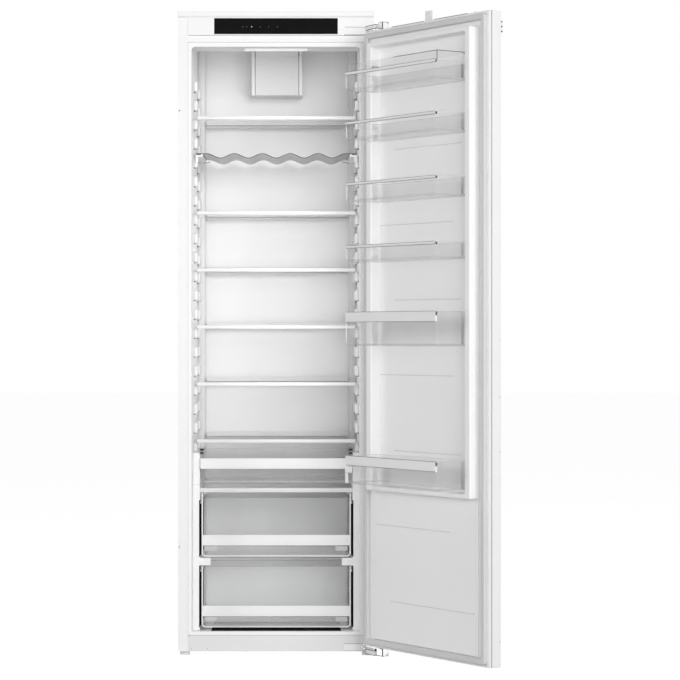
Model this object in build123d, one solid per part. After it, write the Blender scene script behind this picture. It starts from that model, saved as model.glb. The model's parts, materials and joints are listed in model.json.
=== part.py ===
from build123d import *
import math
import os

# Built-in refrigerator, in millimetres. X runs to the right, Y to the rear and Z up.
# The origin is on the floor, at the middle of the width, in the plane of the cabinet's front frame.

# Shared clearances
overrun = 5.0
seat_gap = 0.3
bearing_gap = 0.05

# Cabinet casing
cabinet_width = 540.0
shell_depth = 495.0
cabinet_top = 1772.0
cabinet_underside = 12.0
shell_sheet = 1.0
flange_width = 28.0
back_panel_inset = 25.0
tray_sheet = 1.5
trim_strip_height = 16.0
trim_strip_proud = 6.0
trim_edge_radius = 1.5
plinth_gap = 0.5
plinth_thickness = 8.0

# Niche fixing holes in the side flanges
fixing_hole_radius = 2.0
fixing_edge_distance = 4.5
fixing_low = 300.0
fixing_top_drop = 272.0
fixing_relief_radius = 3.0
fixing_relief_depth = 20.0

# Inner liner, set into the casing by the thickness of the insulated walls
liner_wall = 2.0
side_wall = 38.5
top_wall = 58.0
back_wall = 40.0
cavity_floor = 60.0
lip_drop = 39.0
lip_depth = 103.0
hump_depth = 145.0
hump_top = 245.0
flange_lap_above = 13.0
flange_lap_below = 3.0
column_width = 24.0
column_depth = 30.0
column_cover_drop = 8.4

# Shelf ribs on the side walls
rib_reach = 12.0
rib_gap = 23.2
rib_length = 28.0
front_rib_setback = 17.0
rear_rib_setback = 80.0
ribs_above_top_shelf = 2
rib_count = 20

# Glass shelves, counted down from the top one in rib pitches
top_shelf_drop = 218.5
lowest_shelf_rise = 25.1
shelf_steps = (0, 5, 8, 11, 14, 17)
shelf_front = 113.0
shelf_back_gap = 34.0
pane_thickness = 4.0
pane_drop = 3.0
pane_side_gap = 3.5
trim_height = 10.0
trim_depth = 12.0
trim_lip = 4.0
front_trim_side_gap = 9.5
rear_trim_side_gap = 26.5
rear_trim_rise = 10.0

# Corrugated bottle rack
rack_steps_down = 2
wave_side_gap = 10.5
wave_height = 12.0
wave_count = 5
wave_front_setback = 9.0
wave_back_gap = 58.0
rack_sheet = 1.5
rack_tab_wall_gap = 5.5
hanger_width = 20.0
hanger_height = 8.0
hanger_hook_drop = 16.0
hanger_hook_depth = 7.0

# Fan unit on the back wall
fan_width = 147.0
fan_depth = 89.0
fan_height = 139.0
fan_wall = 4.0
fan_back_wall = 2.0
cheek_width = 10.0
cheek_proud = 5.0
plate_side_gap = 1.0
plate_thickness = 3.7
plate_top_drop = 23.0
impeller_radius = 44.0
impeller_depth = 22.0
impeller_front_gap = 14.0
impeller_drop = 77.0
hub_radius = 12.0
blade_count = 9
blade_thickness = 2.0
impeller_disc = 2.0
motor_radius = 20.0
motor_gap = 3.0
shaft_radius = 2.5
blade_inner_share = 0.45

# Control panel in the top frame
fascia_depth = 18.0
fascia_proud = 4.0
fascia_step_drop = 1.0
panel_width = 340.0
panel_height = 44.0
panel_top_gap = 2.0
panel_glass = 3.0
panel_glass_proud = 0.4
fascia_wall = 5.0
fascia_pocket_inset = 10.0
fascia_pocket_margin = 4.0
board_inset = 10.0
board_height = 30.0
board_thickness = 1.6
dot_radius = 1.3
dot_thickness = 0.3
dot_rise = 20.0
dot_place_shares = (-0.268, -0.232, -0.198, -0.156, 0.013)

# Interior light in the lip over the opening
light_width = 174.0
light_front = 33.0
light_back_gap = 12.0
light_thickness = 4.0
light_recess_margin = 3.0
light_recess_height = 10.0
light_board_margin = 4.0

# Crisper cover and its side carriers
cover_top = 455.4
cover_front_step = 13.0
cover_back_gap = 32.0
cover_trim_height = 12.0
cover_pane_drop = 4.0
carrier_thickness = 18.5
carrier_front_step = 4.0
carrier_back_gap = 34.0
rail_reach = 6.0
rail_height = 4.0
bin_rail_setback = 15.0
rail_end_gap = 4.0
corner_bracket_width = 30.0
corner_bracket_height = 21.0
corner_bracket_depth = 12.0
corner_bracket_drop = 4.0

# Crisper bins
bin_front_step = 5.0
bin_side_gap = 10.0
bin_wall = 2.5
bin_corner = 9.0
bin_rim_reach = 8.5
bin_rim_thickness = 2.7
bin_rim_drop = 12.0
bin_cover_gap = 27.4
bin_stack_gap = 27.0
upper_bin_floor_gap = 20.0
upper_bin_back_gap = 40.0
lower_bin_floor_gap = 7.5
lower_bin_back_gap = 8.0
strip_height = 29.5
strip_thickness = 3.0
strip_rise = 31.0
post_width = 3.5
post_depth = 6.0
post_end_gap = 3.0

# Chiller drawer under the lowest glass shelf
chiller_front_setback = 1.0
chiller_back_gap = 45.0
chiller_side_gap = 22.5
chiller_cover_gap = 10.6
chiller_height = 100.0
chiller_rim_reach = 10.0
chiller_rim_drop = 12.0
chiller_rail_reach = 17.5
chiller_rail_height = 90.0
chiller_rail_end_gap = 4.0
chiller_strip_rise = 42.5
chiller_strip_overhang = 3.5
chiller_strip_thickness = 4.0

# Machine compartment under and behind the hump
machine_foam = 25.0
compressor_radius = 68.0
compressor_headroom = 46.5
compressor_x = -70.0
compressor_front_gap = 5.0
compressor_dome = 30.0
compressor_base_height = 8.0
compressor_base_width = 190.0
compressor_base_depth = 120.0
pan_width = 150.0
pan_depth = 110.0
pan_height = 22.0
pan_wall = 2.0
drain_radius = 6.0
drain_bore = 4.0
drain_x = -40.0
drain_back_gap = 12.0
drain_dip = 6.0
inlet_width = 50.0
inlet_height = 32.0
inlet_depth = 30.0
inlet_side_gap = 70.0
inlet_wall = 4.0
evaporator_thickness = 2.0
evaporator_width = 380.0
evaporator_drop = 194.0
evaporator_height = 820.0

# Condenser on the back
coil_radius = 2.6
coil_rows = 14
coil_side_gap = 40.0
coil_bottom = 330.0
coil_top_drop = 194.0
coil_bend = 24.0
wire_radius = 0.9
wire_pitch = 23.0
coil_gap = 6.0

# Feet and rear rollers
foot_inset = 19.0
foot_y = 25.0
foot_radius = 14.0
foot_height = 9.0
spindle_radius = 4.0
spindle_top = 40.0
socket_radius = 9.0
socket_cap = 4.0
roller_radius = 17.0
roller_width = 16.0
roller_inset = 34.0
roller_back_gap = 33.0
roller_axle_radius = 3.0
roller_slot_gap = 2.0
bracket_ear_thickness = 4.0
bracket_ear_width = 16.0
bracket_ear_rise = 8.0
bracket_inset = 20.0

# Door, described closed and then swung open about its hinge pins
door_side_gap = 1.0
door_bottom = 37.0
door_top_drop = 64.0
door_inner_face = -12.0
door_thickness = 38.0
door_sheet = 1.0
door_liner_wall = 2.0
door_open_angle = 124.0
dyke_side_gap = 4.5
dyke_thickness = 23.7
dyke_end_thickness = 13.0
dyke_height = 30.0
dyke_lip_gap = 4.0
dyke_cover_rise = 8.6
dyke_corner = 6.0
lower_panel_step = 0.5
lower_panel_floor_gap = 1.0
lower_panel_rise = 4.0
gasket_outer_inset = 7.0
gasket_width = 16.0
gasket_gap = 0.3
gasket_corner = 10.0

# Door racks, placed as shares of the height between the dykes' ends
rack_side_gap = 1.3
rack_shelf_gap = 8.5
rack_wall = 2.2
rack_corner = 9.0
rack_bottom_shares = (0.8865, 0.7772, 0.6415, 0.5090, 0.3232, 0.0186)
rack_heights = (46.0, 49.5, 50.7, 43.1, 90.5, 75.5)
bar_heights = (8.0, 8.0, 8.0, 8.0, 28.0, 27.0)
bar_thickness = 4.0
bar_proud = 1.2
bar_end_inset = 3.0
rack_back_gap = 0.5
rack_back_rise = 26.0
lug_depth = 16.0
lug_height = 24.0
lug_rise = 8.0

# Hinged hood over the top door rack
hood_rise = 26.0
hood_wall = 2.2
hood_side_inset = 3.0
hood_inset = 3.0
hood_back = 6.0
hood_pin_radius = 3.0
hood_pin_depth = 4.0
hood_arm_length = 14.0
hood_arm_drop = 12.0

# Hinges
pivot_side_reach = 2.5
pivot_setback = 2.5
pin_radius = 3.0
eye_radius = 7.0
eye_height = 6.0
hinge_plate_thickness = 3.0
door_plate_thickness = 3.0
door_plate_length = 50.0
door_plate_width = 34.0
arm_thickness = 4.0
arm_width = 14.0
arm_gap = 0.5
arm_root_inset = 34.0
cabinet_plate_inset = 22.0
cabinet_plate_length = 62.0
cabinet_plate_height = 22.0
cabinet_plate_lift = 3.0
screw_head_radius = 4.0
screw_head_height = 1.6
screw_edge = 9.0

# Fixings for the furniture panel on the door
rail_half_length = 165.0
rail_depth = 20.0
rail_thickness = 3.0
rail_setback = 8.0
tab_half_width = 15.0
tab_thickness = 3.0
tab_height = 28.0
tab_hole_radius = 3.0
tab_hole_drop = 9.0
stud_gap = 20.0
stud_radius = 3.0
stud_height = 7.0
clip_width = 26.0
clip_height = 28.0
clip_thickness = 5.0
clip_top_drop = 26.0
edge_screw_radius = 2.4
edge_screw_height = 0.8
edge_screw_setback = 5.0
edge_screw_shares = (0.499, 0.412, 0.3289, 0.0392)

# The casing and the cavity, worked out from the values above
half_width = cabinet_width / 2
half_frame = half_width - flange_width
half_cavity = half_width - side_wall
tray_top = cabinet_underside + tray_sheet
back_panel_face = shell_depth - back_panel_inset
trim_strip_bottom = cabinet_top - trim_strip_height
cavity_ceiling = cabinet_top - top_wall
cavity_back = back_panel_face - back_wall
lip_height = cavity_ceiling - lip_drop
hump_front = cavity_back - hump_depth
flange_lap_top = lip_height + flange_lap_above
flange_lap_bottom = cavity_floor - flange_lap_below
column_bottom = cover_top - column_cover_drop
plinth_top = flange_lap_bottom - plinth_gap
panel_bottom = trim_strip_bottom - panel_top_gap - panel_height
fascia_step = panel_bottom - fascia_step_drop
dot_height = panel_bottom + dot_rise
light_back = lip_depth - light_back_gap
fan_front = cavity_back - fan_depth
fan_bottom = cavity_ceiling - fan_height
impeller_height = cavity_ceiling - impeller_drop

# The drawers, stacked from the floor up to the lowest shelf
cover_front = shelf_front - cover_front_step
cover_back = cavity_back - cover_back_gap
carrier_inner = half_cavity - carrier_thickness
carrier_front = cover_front - carrier_front_step
carrier_back = cavity_back - carrier_back_gap
bin_front = cover_front - bin_front_step
bin_half = carrier_inner - bin_side_gap
rail_start = bin_front + bin_rail_setback
upper_bin_bottom = hump_top + upper_bin_floor_gap
upper_bin_height = cover_top - bin_cover_gap - upper_bin_bottom
upper_bin_depth = cavity_back - upper_bin_back_gap - bin_front
lower_bin_bottom = cavity_floor + lower_bin_floor_gap
lower_bin_height = upper_bin_bottom - bin_stack_gap - lower_bin_bottom
lower_bin_depth = hump_front - lower_bin_back_gap - bin_front
chiller_front = shelf_front + chiller_front_setback
chiller_back = cavity_back - chiller_back_gap
chiller_half = half_cavity - chiller_side_gap
chiller_bottom = cover_top + chiller_cover_gap
chiller_strip_bottom = chiller_bottom + chiller_strip_rise

# The shelves, the ribs under them and the bottle rack
top_shelf_height = cavity_ceiling - top_shelf_drop
lowest_shelf_height = chiller_bottom + chiller_height + lowest_shelf_rise
rib_pitch = (top_shelf_height - lowest_shelf_height) / shelf_steps[-1]
rib_height = rib_pitch - rib_gap
shelf_heights = [top_shelf_height - rib_pitch * step for step in shelf_steps]
shelf_back = cavity_back - shelf_back_gap
pane_bottom_drop = pane_drop + pane_thickness
front_rib_start = shelf_front + front_rib_setback
rear_rib_start = cavity_back - rear_rib_setback
rack_front = shelf_front + wave_front_setback
rack_back = cavity_back - wave_back_gap
rack_tab_end = half_cavity - rack_tab_wall_gap
hanger_inner = rack_tab_end - hanger_width
wave_pitch = 2 * (hanger_inner - wave_side_gap) / wave_count

# The machine compartment, the condenser and the rollers
machine_front = hump_front + liner_wall + machine_foam
machine_top = hump_top - liner_wall - machine_foam
compressor_y = machine_front + compressor_front_gap + compressor_radius
compressor_height = machine_top - compressor_headroom - compressor_base_height - tray_top
drain_y = cavity_back - drain_back_gap
inlet_x = half_width - inlet_side_gap
evaporator_top = cavity_ceiling - evaporator_drop
coil_half_width = half_width - coil_side_gap
coil_top = cabinet_top - coil_top_drop
roller_x = half_width - roller_inset
roller_y = shell_depth - roller_back_gap
bracket_x = roller_x - bracket_inset

# The door and what it carries
half_door = half_width - door_side_gap
door_top = cabinet_top - door_top_drop
door_height = door_top - door_bottom
door_outer_face = door_inner_face - door_thickness
dyke_outer = half_cavity - dyke_side_gap
dyke_inner = dyke_outer - dyke_thickness
dyke_face = door_inner_face + dyke_height
dyke_top = lip_height - dyke_lip_gap
dyke_bottom = cover_top + dyke_cover_rise
rack_half = dyke_inner - rack_side_gap
rack_front_face = shelf_front - rack_shelf_gap
rack_bottoms = [dyke_bottom + share * (dyke_top - dyke_bottom) for share in rack_bottom_shares]
rack_tops = [bottom + height for bottom, height in zip(rack_bottoms, rack_heights)]
hood_top = rack_tops[0] + hood_rise
hood_half = rack_half - hood_side_inset
pivot_x = half_width + pivot_side_reach
pivot_y = door_outer_face + pivot_setback
door_hinge = Axis((pivot_x, pivot_y, 0), (0, 0, 1))


def block(x, y, z):
    """A box between a low and a high limit along each axis."""
    limits = (x, y, z)
    centre = [(low + high) / 2 for low, high in limits]
    return Pos(*centre) * Box(*[high - low for low, high in limits])


def either_way(half):
    """Limits that lie evenly about zero."""
    return (-half, half)


def rod(start, end, radius):
    """A round bar between two points."""
    first = Vector(*start)
    run = Vector(*end) - first
    return Part() + Solid.make_cylinder(radius, run.length, Plane(origin=first, z_dir=run))


def prism_x(outline, x):
    """A prism along X over an outline of (y, z) points."""
    low, high = x
    edge = Polyline(*[(low, y, z) for y, z in outline], close=True)
    return extrude(make_face(edge), amount=high - low, dir=(1, 0, 0))


def rounded_block(x, y, z, radius):
    """An upright box whose four vertical edges are round."""
    middle = [(low + high) / 2 for low, high in (x, y)]
    width, depth = [high - low for low, high in (x, y)]
    face = Pos(*middle, z[0]) * RectangleRounded(width, depth, radius)
    return extrude(face, amount=z[1] - z[0])


def rounded_panel(x, y, z, radius):
    """A plate that faces along Y, with four round corners."""
    plane = Plane(origin=(0, y[0], 0), x_dir=(1, 0, 0), z_dir=(0, 1, 0))
    centre = plane.to_local_coords(Vector((x[0] + x[1]) / 2, y[0], (z[0] + z[1]) / 2))
    face = plane * Pos(centre.X, centre.Y) * RectangleRounded(x[1] - x[0], z[1] - z[0], radius)
    return extrude(face, amount=y[1] - y[0])


def mirrored(shape):
    """The shape and its copy on the other side of the middle plane."""
    return [shape, mirror(shape, Plane.YZ)]


def joined(shapes):
    """All the shapes as one."""
    return sum(shapes[1:], Part() + shapes[0])


def opened(shape):
    """A piece of the closed door, swung to where it stands at rest."""
    return shape.rotate(door_hinge, door_open_angle)


def save(name, shapes):
    """Writes one node from one shape or from several."""
    group = shapes if isinstance(shapes, list) else [shapes]
    solids = [solid for shape in group for solid in shape.solids()]
    result = solids[0] if len(solids) == 1 else Compound(solids)
    export_step(result, f"parts/{name}.step")


# Cavity and liner

def cavity_outline(grow):
    """The cavity's side outline, larger all round by grow."""
    return [
        (0, cavity_floor - grow),
        (hump_front + grow, cavity_floor - grow),
        (hump_front + grow, hump_top - grow),
        (cavity_back + grow, hump_top - grow),
        (cavity_back + grow, cavity_ceiling + grow),
        (lip_depth - grow, cavity_ceiling + grow),
        (lip_depth - grow, lip_height + grow),
        (0, lip_height + grow),
    ]


def cavity(grow):
    """The room inside the cabinet, or the liner's outside."""
    return prism_x(cavity_outline(grow), either_way(half_cavity + grow))


def front_flange():
    return block(either_way(half_frame), (0, liner_wall), (flange_lap_bottom, flange_lap_top))


def light_hole():
    return block(
        either_way(light_width / 2),
        (light_front, light_back),
        (lip_height, lip_height + light_thickness),
    )


def drain_path(radius):
    top = hump_top - liner_wall
    return rod((drain_x, drain_y, top - machine_foam - overrun), (drain_x, drain_y, hump_top), radius)


def shelf_ribs():
    """Ribs that carry the shelves, in a front and a rear row on each side wall."""
    top = top_shelf_height - pane_bottom_drop + ribs_above_top_shelf * rib_pitch
    ribs = []
    for index in range(rib_count):
        high = top - index * rib_pitch
        for start in (front_rib_start, rear_rib_start):
            x = (half_cavity - rib_reach, half_cavity)
            rib = block(x, (start, start + rib_length), (high - rib_height, high))
            ribs += mirrored(rib)
    return ribs


def inner_liner():
    skin = cavity(liner_wall) + front_flange() - cavity(0)
    skin = skin - block(
        either_way(half_cavity), (-overrun, liner_wall + overrun), (cavity_floor, lip_height)
    )
    column = block(
        (half_cavity - column_width, half_cavity),
        (cavity_back - column_depth, cavity_back),
        (column_bottom, cavity_ceiling),
    )
    skin = skin + mirrored(column) + shelf_ribs()
    return skin - light_hole() - drain_path(drain_radius)


# Casing

def fixing_places():
    across = half_width - fixing_edge_distance
    heights = (fixing_low, cabinet_top - fixing_top_drop)
    return [(side * across, height) for side in (-1, 1) for height in heights]


def outer_shell():
    inside = half_width - shell_sheet
    shell = block(either_way(half_width), (0, shell_depth), (cabinet_underside, cabinet_top))
    shell -= block(
        either_way(inside),
        (shell_sheet, shell_depth + overrun),
        (cabinet_underside - overrun, cabinet_top - shell_sheet),
    )
    shell -= block(
        either_way(half_frame),
        (-overrun, shell_sheet + overrun),
        (cabinet_underside - overrun, trim_strip_bottom),
    )
    for x, z in fixing_places():
        shell -= rod((x, -overrun, z), (x, shell_sheet + overrun, z), fixing_hole_radius)
    return shell


def back_panel():
    inside = half_width - shell_sheet
    face = (back_panel_face - shell_sheet, back_panel_face)
    return block(either_way(inside), face, (machine_top, cabinet_top - shell_sheet))


def foot_places():
    return [side * (half_width - foot_inset) for side in (-1, 1)]


def base_tray():
    inside = half_width - shell_sheet
    tray = block(either_way(inside), (shell_sheet, shell_depth), (cabinet_underside, tray_top))
    for x in foot_places():
        low = (x, foot_y, cabinet_underside - overrun)
        tray -= rod(low, (x, foot_y, tray_top + overrun), spindle_radius + seat_gap)
    slot = block(
        (roller_x - roller_width / 2 - roller_slot_gap, roller_x + roller_width / 2 + roller_slot_gap),
        (roller_y - roller_radius, roller_y + roller_radius),
        (cabinet_underside - overrun, tray_top + overrun),
    )
    for cut in mirrored(slot):
        tray -= cut
    return tray


def insulation_foam():
    inside = half_width - shell_sheet
    foam = block(
        either_way(inside),
        (shell_sheet, back_panel_face - shell_sheet),
        (tray_top, cabinet_top - shell_sheet),
    )
    foam -= cavity(liner_wall) + front_flange()
    foam -= block(
        either_way(inside), (machine_front, shell_depth), (tray_top - overrun, machine_top)
    )
    foam -= block(
        either_way(half_frame), (-overrun, fascia_depth), (flange_lap_top, trim_strip_bottom)
    )
    foam -= block(
        either_way(half_frame), (-overrun, plinth_thickness), (tray_top - overrun, flange_lap_bottom)
    )
    foam -= block(
        either_way(light_width / 2 + light_recess_margin),
        (light_front - light_recess_margin, light_back + light_recess_margin),
        (lip_height, lip_height + light_recess_height),
    )
    foam -= block(
        either_way(evaporator_width / 2),
        (cavity_back, cavity_back + liner_wall + evaporator_thickness),
        (evaporator_top - evaporator_height, evaporator_top),
    )
    foam -= drain_path(drain_radius)
    for x in foot_places():
        foam -= rod((x, foot_y, tray_top - overrun), (x, foot_y, spindle_top + socket_cap), socket_radius)
    for x, z in fixing_places():
        foam -= rod((x, -overrun, z), (x, fixing_relief_depth, z), fixing_relief_radius)
    return foam


def top_trim():
    strip = block(
        either_way(half_width - shell_sheet),
        (-trim_strip_proud, 0),
        (trim_strip_bottom, cabinet_top),
    )
    front_edges = strip.edges().filter_by(Axis.X).sort_by(Axis.Y)[:2]
    return fillet(front_edges, trim_edge_radius)


def base_plinth():
    return block(either_way(half_frame), (0, plinth_thickness), (tray_top, plinth_top))


# Control panel and light

def control_fascia():
    lower = block(either_way(half_frame), (0, fascia_depth), (flange_lap_top, fascia_step))
    upper = block(
        either_way(half_frame), (-fascia_proud, fascia_depth), (fascia_step, trim_strip_bottom)
    )
    glass_seat = block(
        either_way(panel_width / 2),
        (-fascia_proud - overrun, panel_glass - fascia_proud),
        (panel_bottom, panel_bottom + panel_height),
    )
    pocket = block(
        either_way(panel_width / 2 - fascia_pocket_inset),
        (fascia_wall, fascia_depth + overrun),
        (flange_lap_top + fascia_pocket_margin, trim_strip_bottom - fascia_pocket_margin),
    )
    return lower + upper - glass_seat - pocket


def control_glass():
    back = panel_glass - fascia_proud
    face = (-fascia_proud - panel_glass_proud, back)
    return block(either_way(panel_width / 2), face, (panel_bottom, panel_bottom + panel_height))


def indicator_lights():
    face = -fascia_proud - panel_glass_proud
    return [
        rod(
            (share * panel_width, face, dot_height),
            (share * panel_width, face - dot_thickness, dot_height),
            dot_radius,
        )
        for share in dot_place_shares
    ]


def circuit_boards():
    front = fascia_wall + seat_gap
    middle = panel_bottom + panel_height / 2
    control = block(
        either_way(panel_width / 2 - fascia_pocket_inset - board_inset),
        (front, front + board_thickness),
        (middle - board_height / 2, middle + board_height / 2),
    )
    low = lip_height + light_thickness + seat_gap
    lamp = block(
        either_way(light_width / 2 - light_board_margin),
        (light_front + light_board_margin, light_back - light_board_margin),
        (low, low + board_thickness),
    )
    return [control, lamp]


# Fan unit

def fan_inside():
    return half_fan() - cheek_width


def half_fan():
    return fan_width / 2


def fan_housing():
    box = block(either_way(half_fan()), (fan_front, cavity_back), (fan_bottom, cavity_ceiling))
    box -= block(
        either_way(fan_inside()),
        (fan_front - overrun, cavity_back - fan_back_wall),
        (fan_bottom + fan_wall, cavity_ceiling - fan_wall),
    )
    cheek = block(
        (fan_inside(), half_fan()),
        (fan_front - cheek_proud, fan_front),
        (fan_bottom, cavity_ceiling - plate_top_drop),
    )
    hole = rod(
        (0, cavity_back - fan_back_wall - overrun, impeller_height),
        (0, cavity_back, impeller_height),
        motor_radius,
    )
    return joined([box] + mirrored(cheek)) - hole


def fan_front_plate():
    return block(
        either_way(fan_inside() - plate_side_gap),
        (fan_front - plate_thickness, fan_front),
        (fan_bottom, cavity_ceiling - plate_top_drop),
    )


def impeller_span():
    front = fan_front + impeller_front_gap
    return (front, front + impeller_depth)


def fan_impeller():
    front, back = impeller_span()
    hub = rod((0, front, impeller_height), (0, back, impeller_height), hub_radius)
    disc = rod(
        (0, back - impeller_disc, impeller_height), (0, back, impeller_height), impeller_radius
    )
    inner = impeller_radius * blade_inner_share
    blade = block(
        (hub_radius - blade_thickness, impeller_radius - blade_thickness),
        (front, back),
        either_way(blade_thickness / 2),
    )
    wheel = hub + disc
    for index in range(blade_count):
        turn = Rotation(0, 360 * index / blade_count, 0)
        wheel += Pos(0, 0, impeller_height) * turn * blade
    bore = shaft_radius + bearing_gap
    return wheel - rod(
        (0, front + blade_thickness, impeller_height), (0, back + overrun, impeller_height), bore
    )


def fan_motor():
    back = impeller_span()[1]
    can = rod(
        (0, back + motor_gap, impeller_height), (0, cavity_back, impeller_height), motor_radius
    )
    tip = impeller_span()[0] + blade_thickness + seat_gap
    shaft = rod(
        (0, tip, impeller_height), (0, back + motor_gap + overrun, impeller_height), shaft_radius
    )
    return can + shaft


# Shelves and racks in the cabinet

def pane_half():
    return half_cavity - pane_side_gap


def shelf_pane(top, front, back, drop):
    high = top - drop
    return block(
        either_way(pane_half()),
        (front + trim_lip, back - trim_lip),
        (high - pane_thickness, high),
    )


def shelf_trim(half, y, z, pane):
    """A bar along one edge of a pane, slotted for the glass."""
    return block(either_way(half), y, z) - pane


def shelf_trims():
    trims = []
    for top in shelf_heights:
        pane = shelf_pane(top, shelf_front, shelf_back, pane_drop)
        front = (shelf_front, shelf_front + trim_depth)
        rear = (shelf_back - trim_depth, shelf_back)
        trims.append(shelf_trim(half_cavity - front_trim_side_gap, front, (top - trim_height, top), pane))
        raised = (top - trim_height, top + rear_trim_rise)
        trims.append(shelf_trim(half_cavity - rear_trim_side_gap, rear, raised, pane))
    pane = shelf_pane(cover_top, cover_front, cover_back, cover_pane_drop)
    front = (cover_front, cover_front + trim_depth)
    height = (cover_top - cover_trim_height, cover_top)
    trims.append(shelf_trim(carrier_inner, front, height, pane))
    return trims


def rack_seat():
    """The height of the ribs that the bottle rack hangs from."""
    return top_shelf_height - pane_bottom_drop - rack_steps_down * rib_pitch


def wave_edges(lift):
    """One face of the corrugated sheet as lines and arcs, from the left tab to the right one."""
    quarter = wave_pitch / 4
    rise = wave_height / 2
    crest = rack_seat() + hanger_height + lift
    middle = crest - rise
    end = wave_count * wave_pitch / 2
    radius = (quarter ** 2 + rise ** 2) / (2 * rise)
    turn = math.asin(quarter / radius) / 2
    shoulder = (end - radius * math.sin(turn), crest - radius * (1 - math.cos(turn)))
    edges = [Line((-rack_tab_end, crest), (-end, crest))]
    edges.append(
        ThreePointArc((-end, crest), (-shoulder[0], shoulder[1]), (-end + quarter, middle))
    )
    for index in range(2 * wave_count - 1):
        start = -end + (2 * index + 1) * quarter
        peak = middle + rise * (-1 if index % 2 == 0 else 1)
        edges.append(
            ThreePointArc((start, middle), (start + quarter, peak), (start + 2 * quarter, middle))
        )
    edges.append(ThreePointArc((end - quarter, middle), shoulder, (end, crest)))
    edges.append(Line((end, crest), (rack_tab_end, crest)))
    return edges


def bottle_rack():
    """A corrugated sheet with a flat tab at each end."""
    crest = rack_seat() + hanger_height
    closing = [
        Line((side * rack_tab_end, crest), (side * rack_tab_end, crest + rack_sheet))
        for side in (-1, 1)
    ]
    outline = wave_edges(0) + wave_edges(rack_sheet) + closing
    face = Plane.XZ * make_face(outline)
    return extrude(face, amount=rack_back - rack_front, dir=(0, 1, 0)).moved(Pos(0, rack_front, 0))


def bottle_rack_hangers():
    """Side rails between the wall ribs and the rack's tabs, with a hook in front of each rib."""
    low = rack_seat()
    rail = block(
        (hanger_inner, rack_tab_end), (rack_front, rack_back), (low, low + hanger_height)
    )
    hook = block(
        (half_cavity - rib_reach, rack_tab_end),
        (rack_front, rack_front + hanger_hook_depth),
        (low - hanger_hook_drop, low),
    )
    return mirrored(rail + hook)


# Drawers

def open_bin(half, y, z, wall, corner):
    """A box without a lid, with round upright corners."""
    outside = rounded_block(either_way(half), y, z, corner)
    inside = rounded_block(
        either_way(half - wall),
        (y[0] + wall, y[1] - wall),
        (z[0] + wall, z[1] + overrun),
        corner - wall,
    )
    return outside - inside


def side_rims(half, reach, y, z):
    """Flanges along both sides of a bin, which slide on the rails."""
    return mirrored(block((half, half + reach), y, z))


def crisper_bin(bottom, height, depth):
    y = (bin_front, bin_front + depth)
    z = (bottom, bottom + height)
    half = bin_half
    rim_low = z[1] - bin_rim_drop
    rim_y = (rail_start, y[1] - bin_corner)
    rims = side_rims(half, bin_rim_reach, rim_y, (rim_low, rim_low + bin_rim_thickness))
    return joined([open_bin(half, y, z, bin_wall, bin_corner)] + rims)


def crisper_frame(bottom, height):
    """The white strip across a crisper's front, with a post at each end."""
    half = bin_half
    low = bottom + strip_rise
    y = (bin_front - strip_thickness, bin_front)
    strip = block(either_way(half + post_width), y, (low, low + strip_height))
    posts = mirrored(
        block(
            (half + seat_gap, half + post_width),
            (bin_front - strip_thickness, bin_front - strip_thickness + post_depth),
            (bottom + post_end_gap, bottom + height - bin_rim_drop - post_end_gap),
        )
    )
    return joined([strip] + posts)


def rail_height_for(bottom, height):
    return bottom + height - bin_rim_drop - seat_gap


def drawer_runners():
    """Side carriers with rails for the crispers, and the chiller drawer's rails."""
    low = cavity_floor
    cover_seat = cover_top - cover_pane_drop - pane_thickness
    carrier = prism_x(
        [
            (carrier_front, low),
            (hump_front, low),
            (hump_front, hump_top),
            (carrier_back, hump_top),
            (carrier_back, cover_seat),
            (carrier_front, cover_seat),
        ],
        (carrier_inner, half_cavity),
    )
    rail_x = (carrier_inner - rail_reach, carrier_inner)
    upper = rail_height_for(upper_bin_bottom, upper_bin_height)
    lower = rail_height_for(lower_bin_bottom, lower_bin_height)
    carrier += block(rail_x, (rail_start, carrier_back - rail_end_gap), (upper - rail_height, upper))
    carrier += block(rail_x, (rail_start, hump_front - rail_end_gap), (lower - rail_height, lower))
    high = upper_bin_bottom - corner_bracket_drop
    carrier += block(
        (carrier_inner - corner_bracket_width, carrier_inner),
        (carrier_front, carrier_front + corner_bracket_depth),
        (high - corner_bracket_height, high),
    )
    seat = chiller_bottom + chiller_height - chiller_rim_drop - seat_gap
    chiller_rail = block(
        (half_cavity - chiller_rail_reach, half_cavity),
        (chiller_front + chiller_rail_end_gap, chiller_back + chiller_rail_end_gap),
        (seat - chiller_rail_height, seat),
    )
    return mirrored(carrier) + mirrored(chiller_rail)


def chiller_tray():
    y = (chiller_front, chiller_back)
    z = (chiller_bottom, chiller_bottom + chiller_height)
    half = chiller_half
    rim_low = z[1] - chiller_rim_drop
    rim_y = (chiller_front + bin_corner, chiller_back - bin_corner)
    rims = side_rims(half, chiller_rim_reach, rim_y, (rim_low, rim_low + bin_rim_thickness))
    return joined([open_bin(half, y, z, bin_wall, bin_corner)] + rims)


def chiller_handle():
    return block(
        either_way(chiller_half + chiller_strip_overhang),
        (chiller_front - chiller_strip_thickness, chiller_front),
        (chiller_strip_bottom, chiller_strip_bottom + strip_height),
    )


# Machine compartment and back

def compressor():
    low = tray_top
    base = block(
        (compressor_x - compressor_base_width / 2, compressor_x + compressor_base_width / 2),
        (compressor_y - compressor_base_depth / 2, compressor_y + compressor_base_depth / 2),
        (low, low + compressor_base_height),
    )
    foot = low + compressor_base_height
    top = foot + compressor_height
    can = rod((compressor_x, compressor_y, foot), (compressor_x, compressor_y, top), compressor_radius)
    can = fillet(can.edges().sort_by(Axis.Z)[-1:], compressor_dome)
    return base + can


def pan_low():
    return tray_top + compressor_base_height + compressor_height


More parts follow.
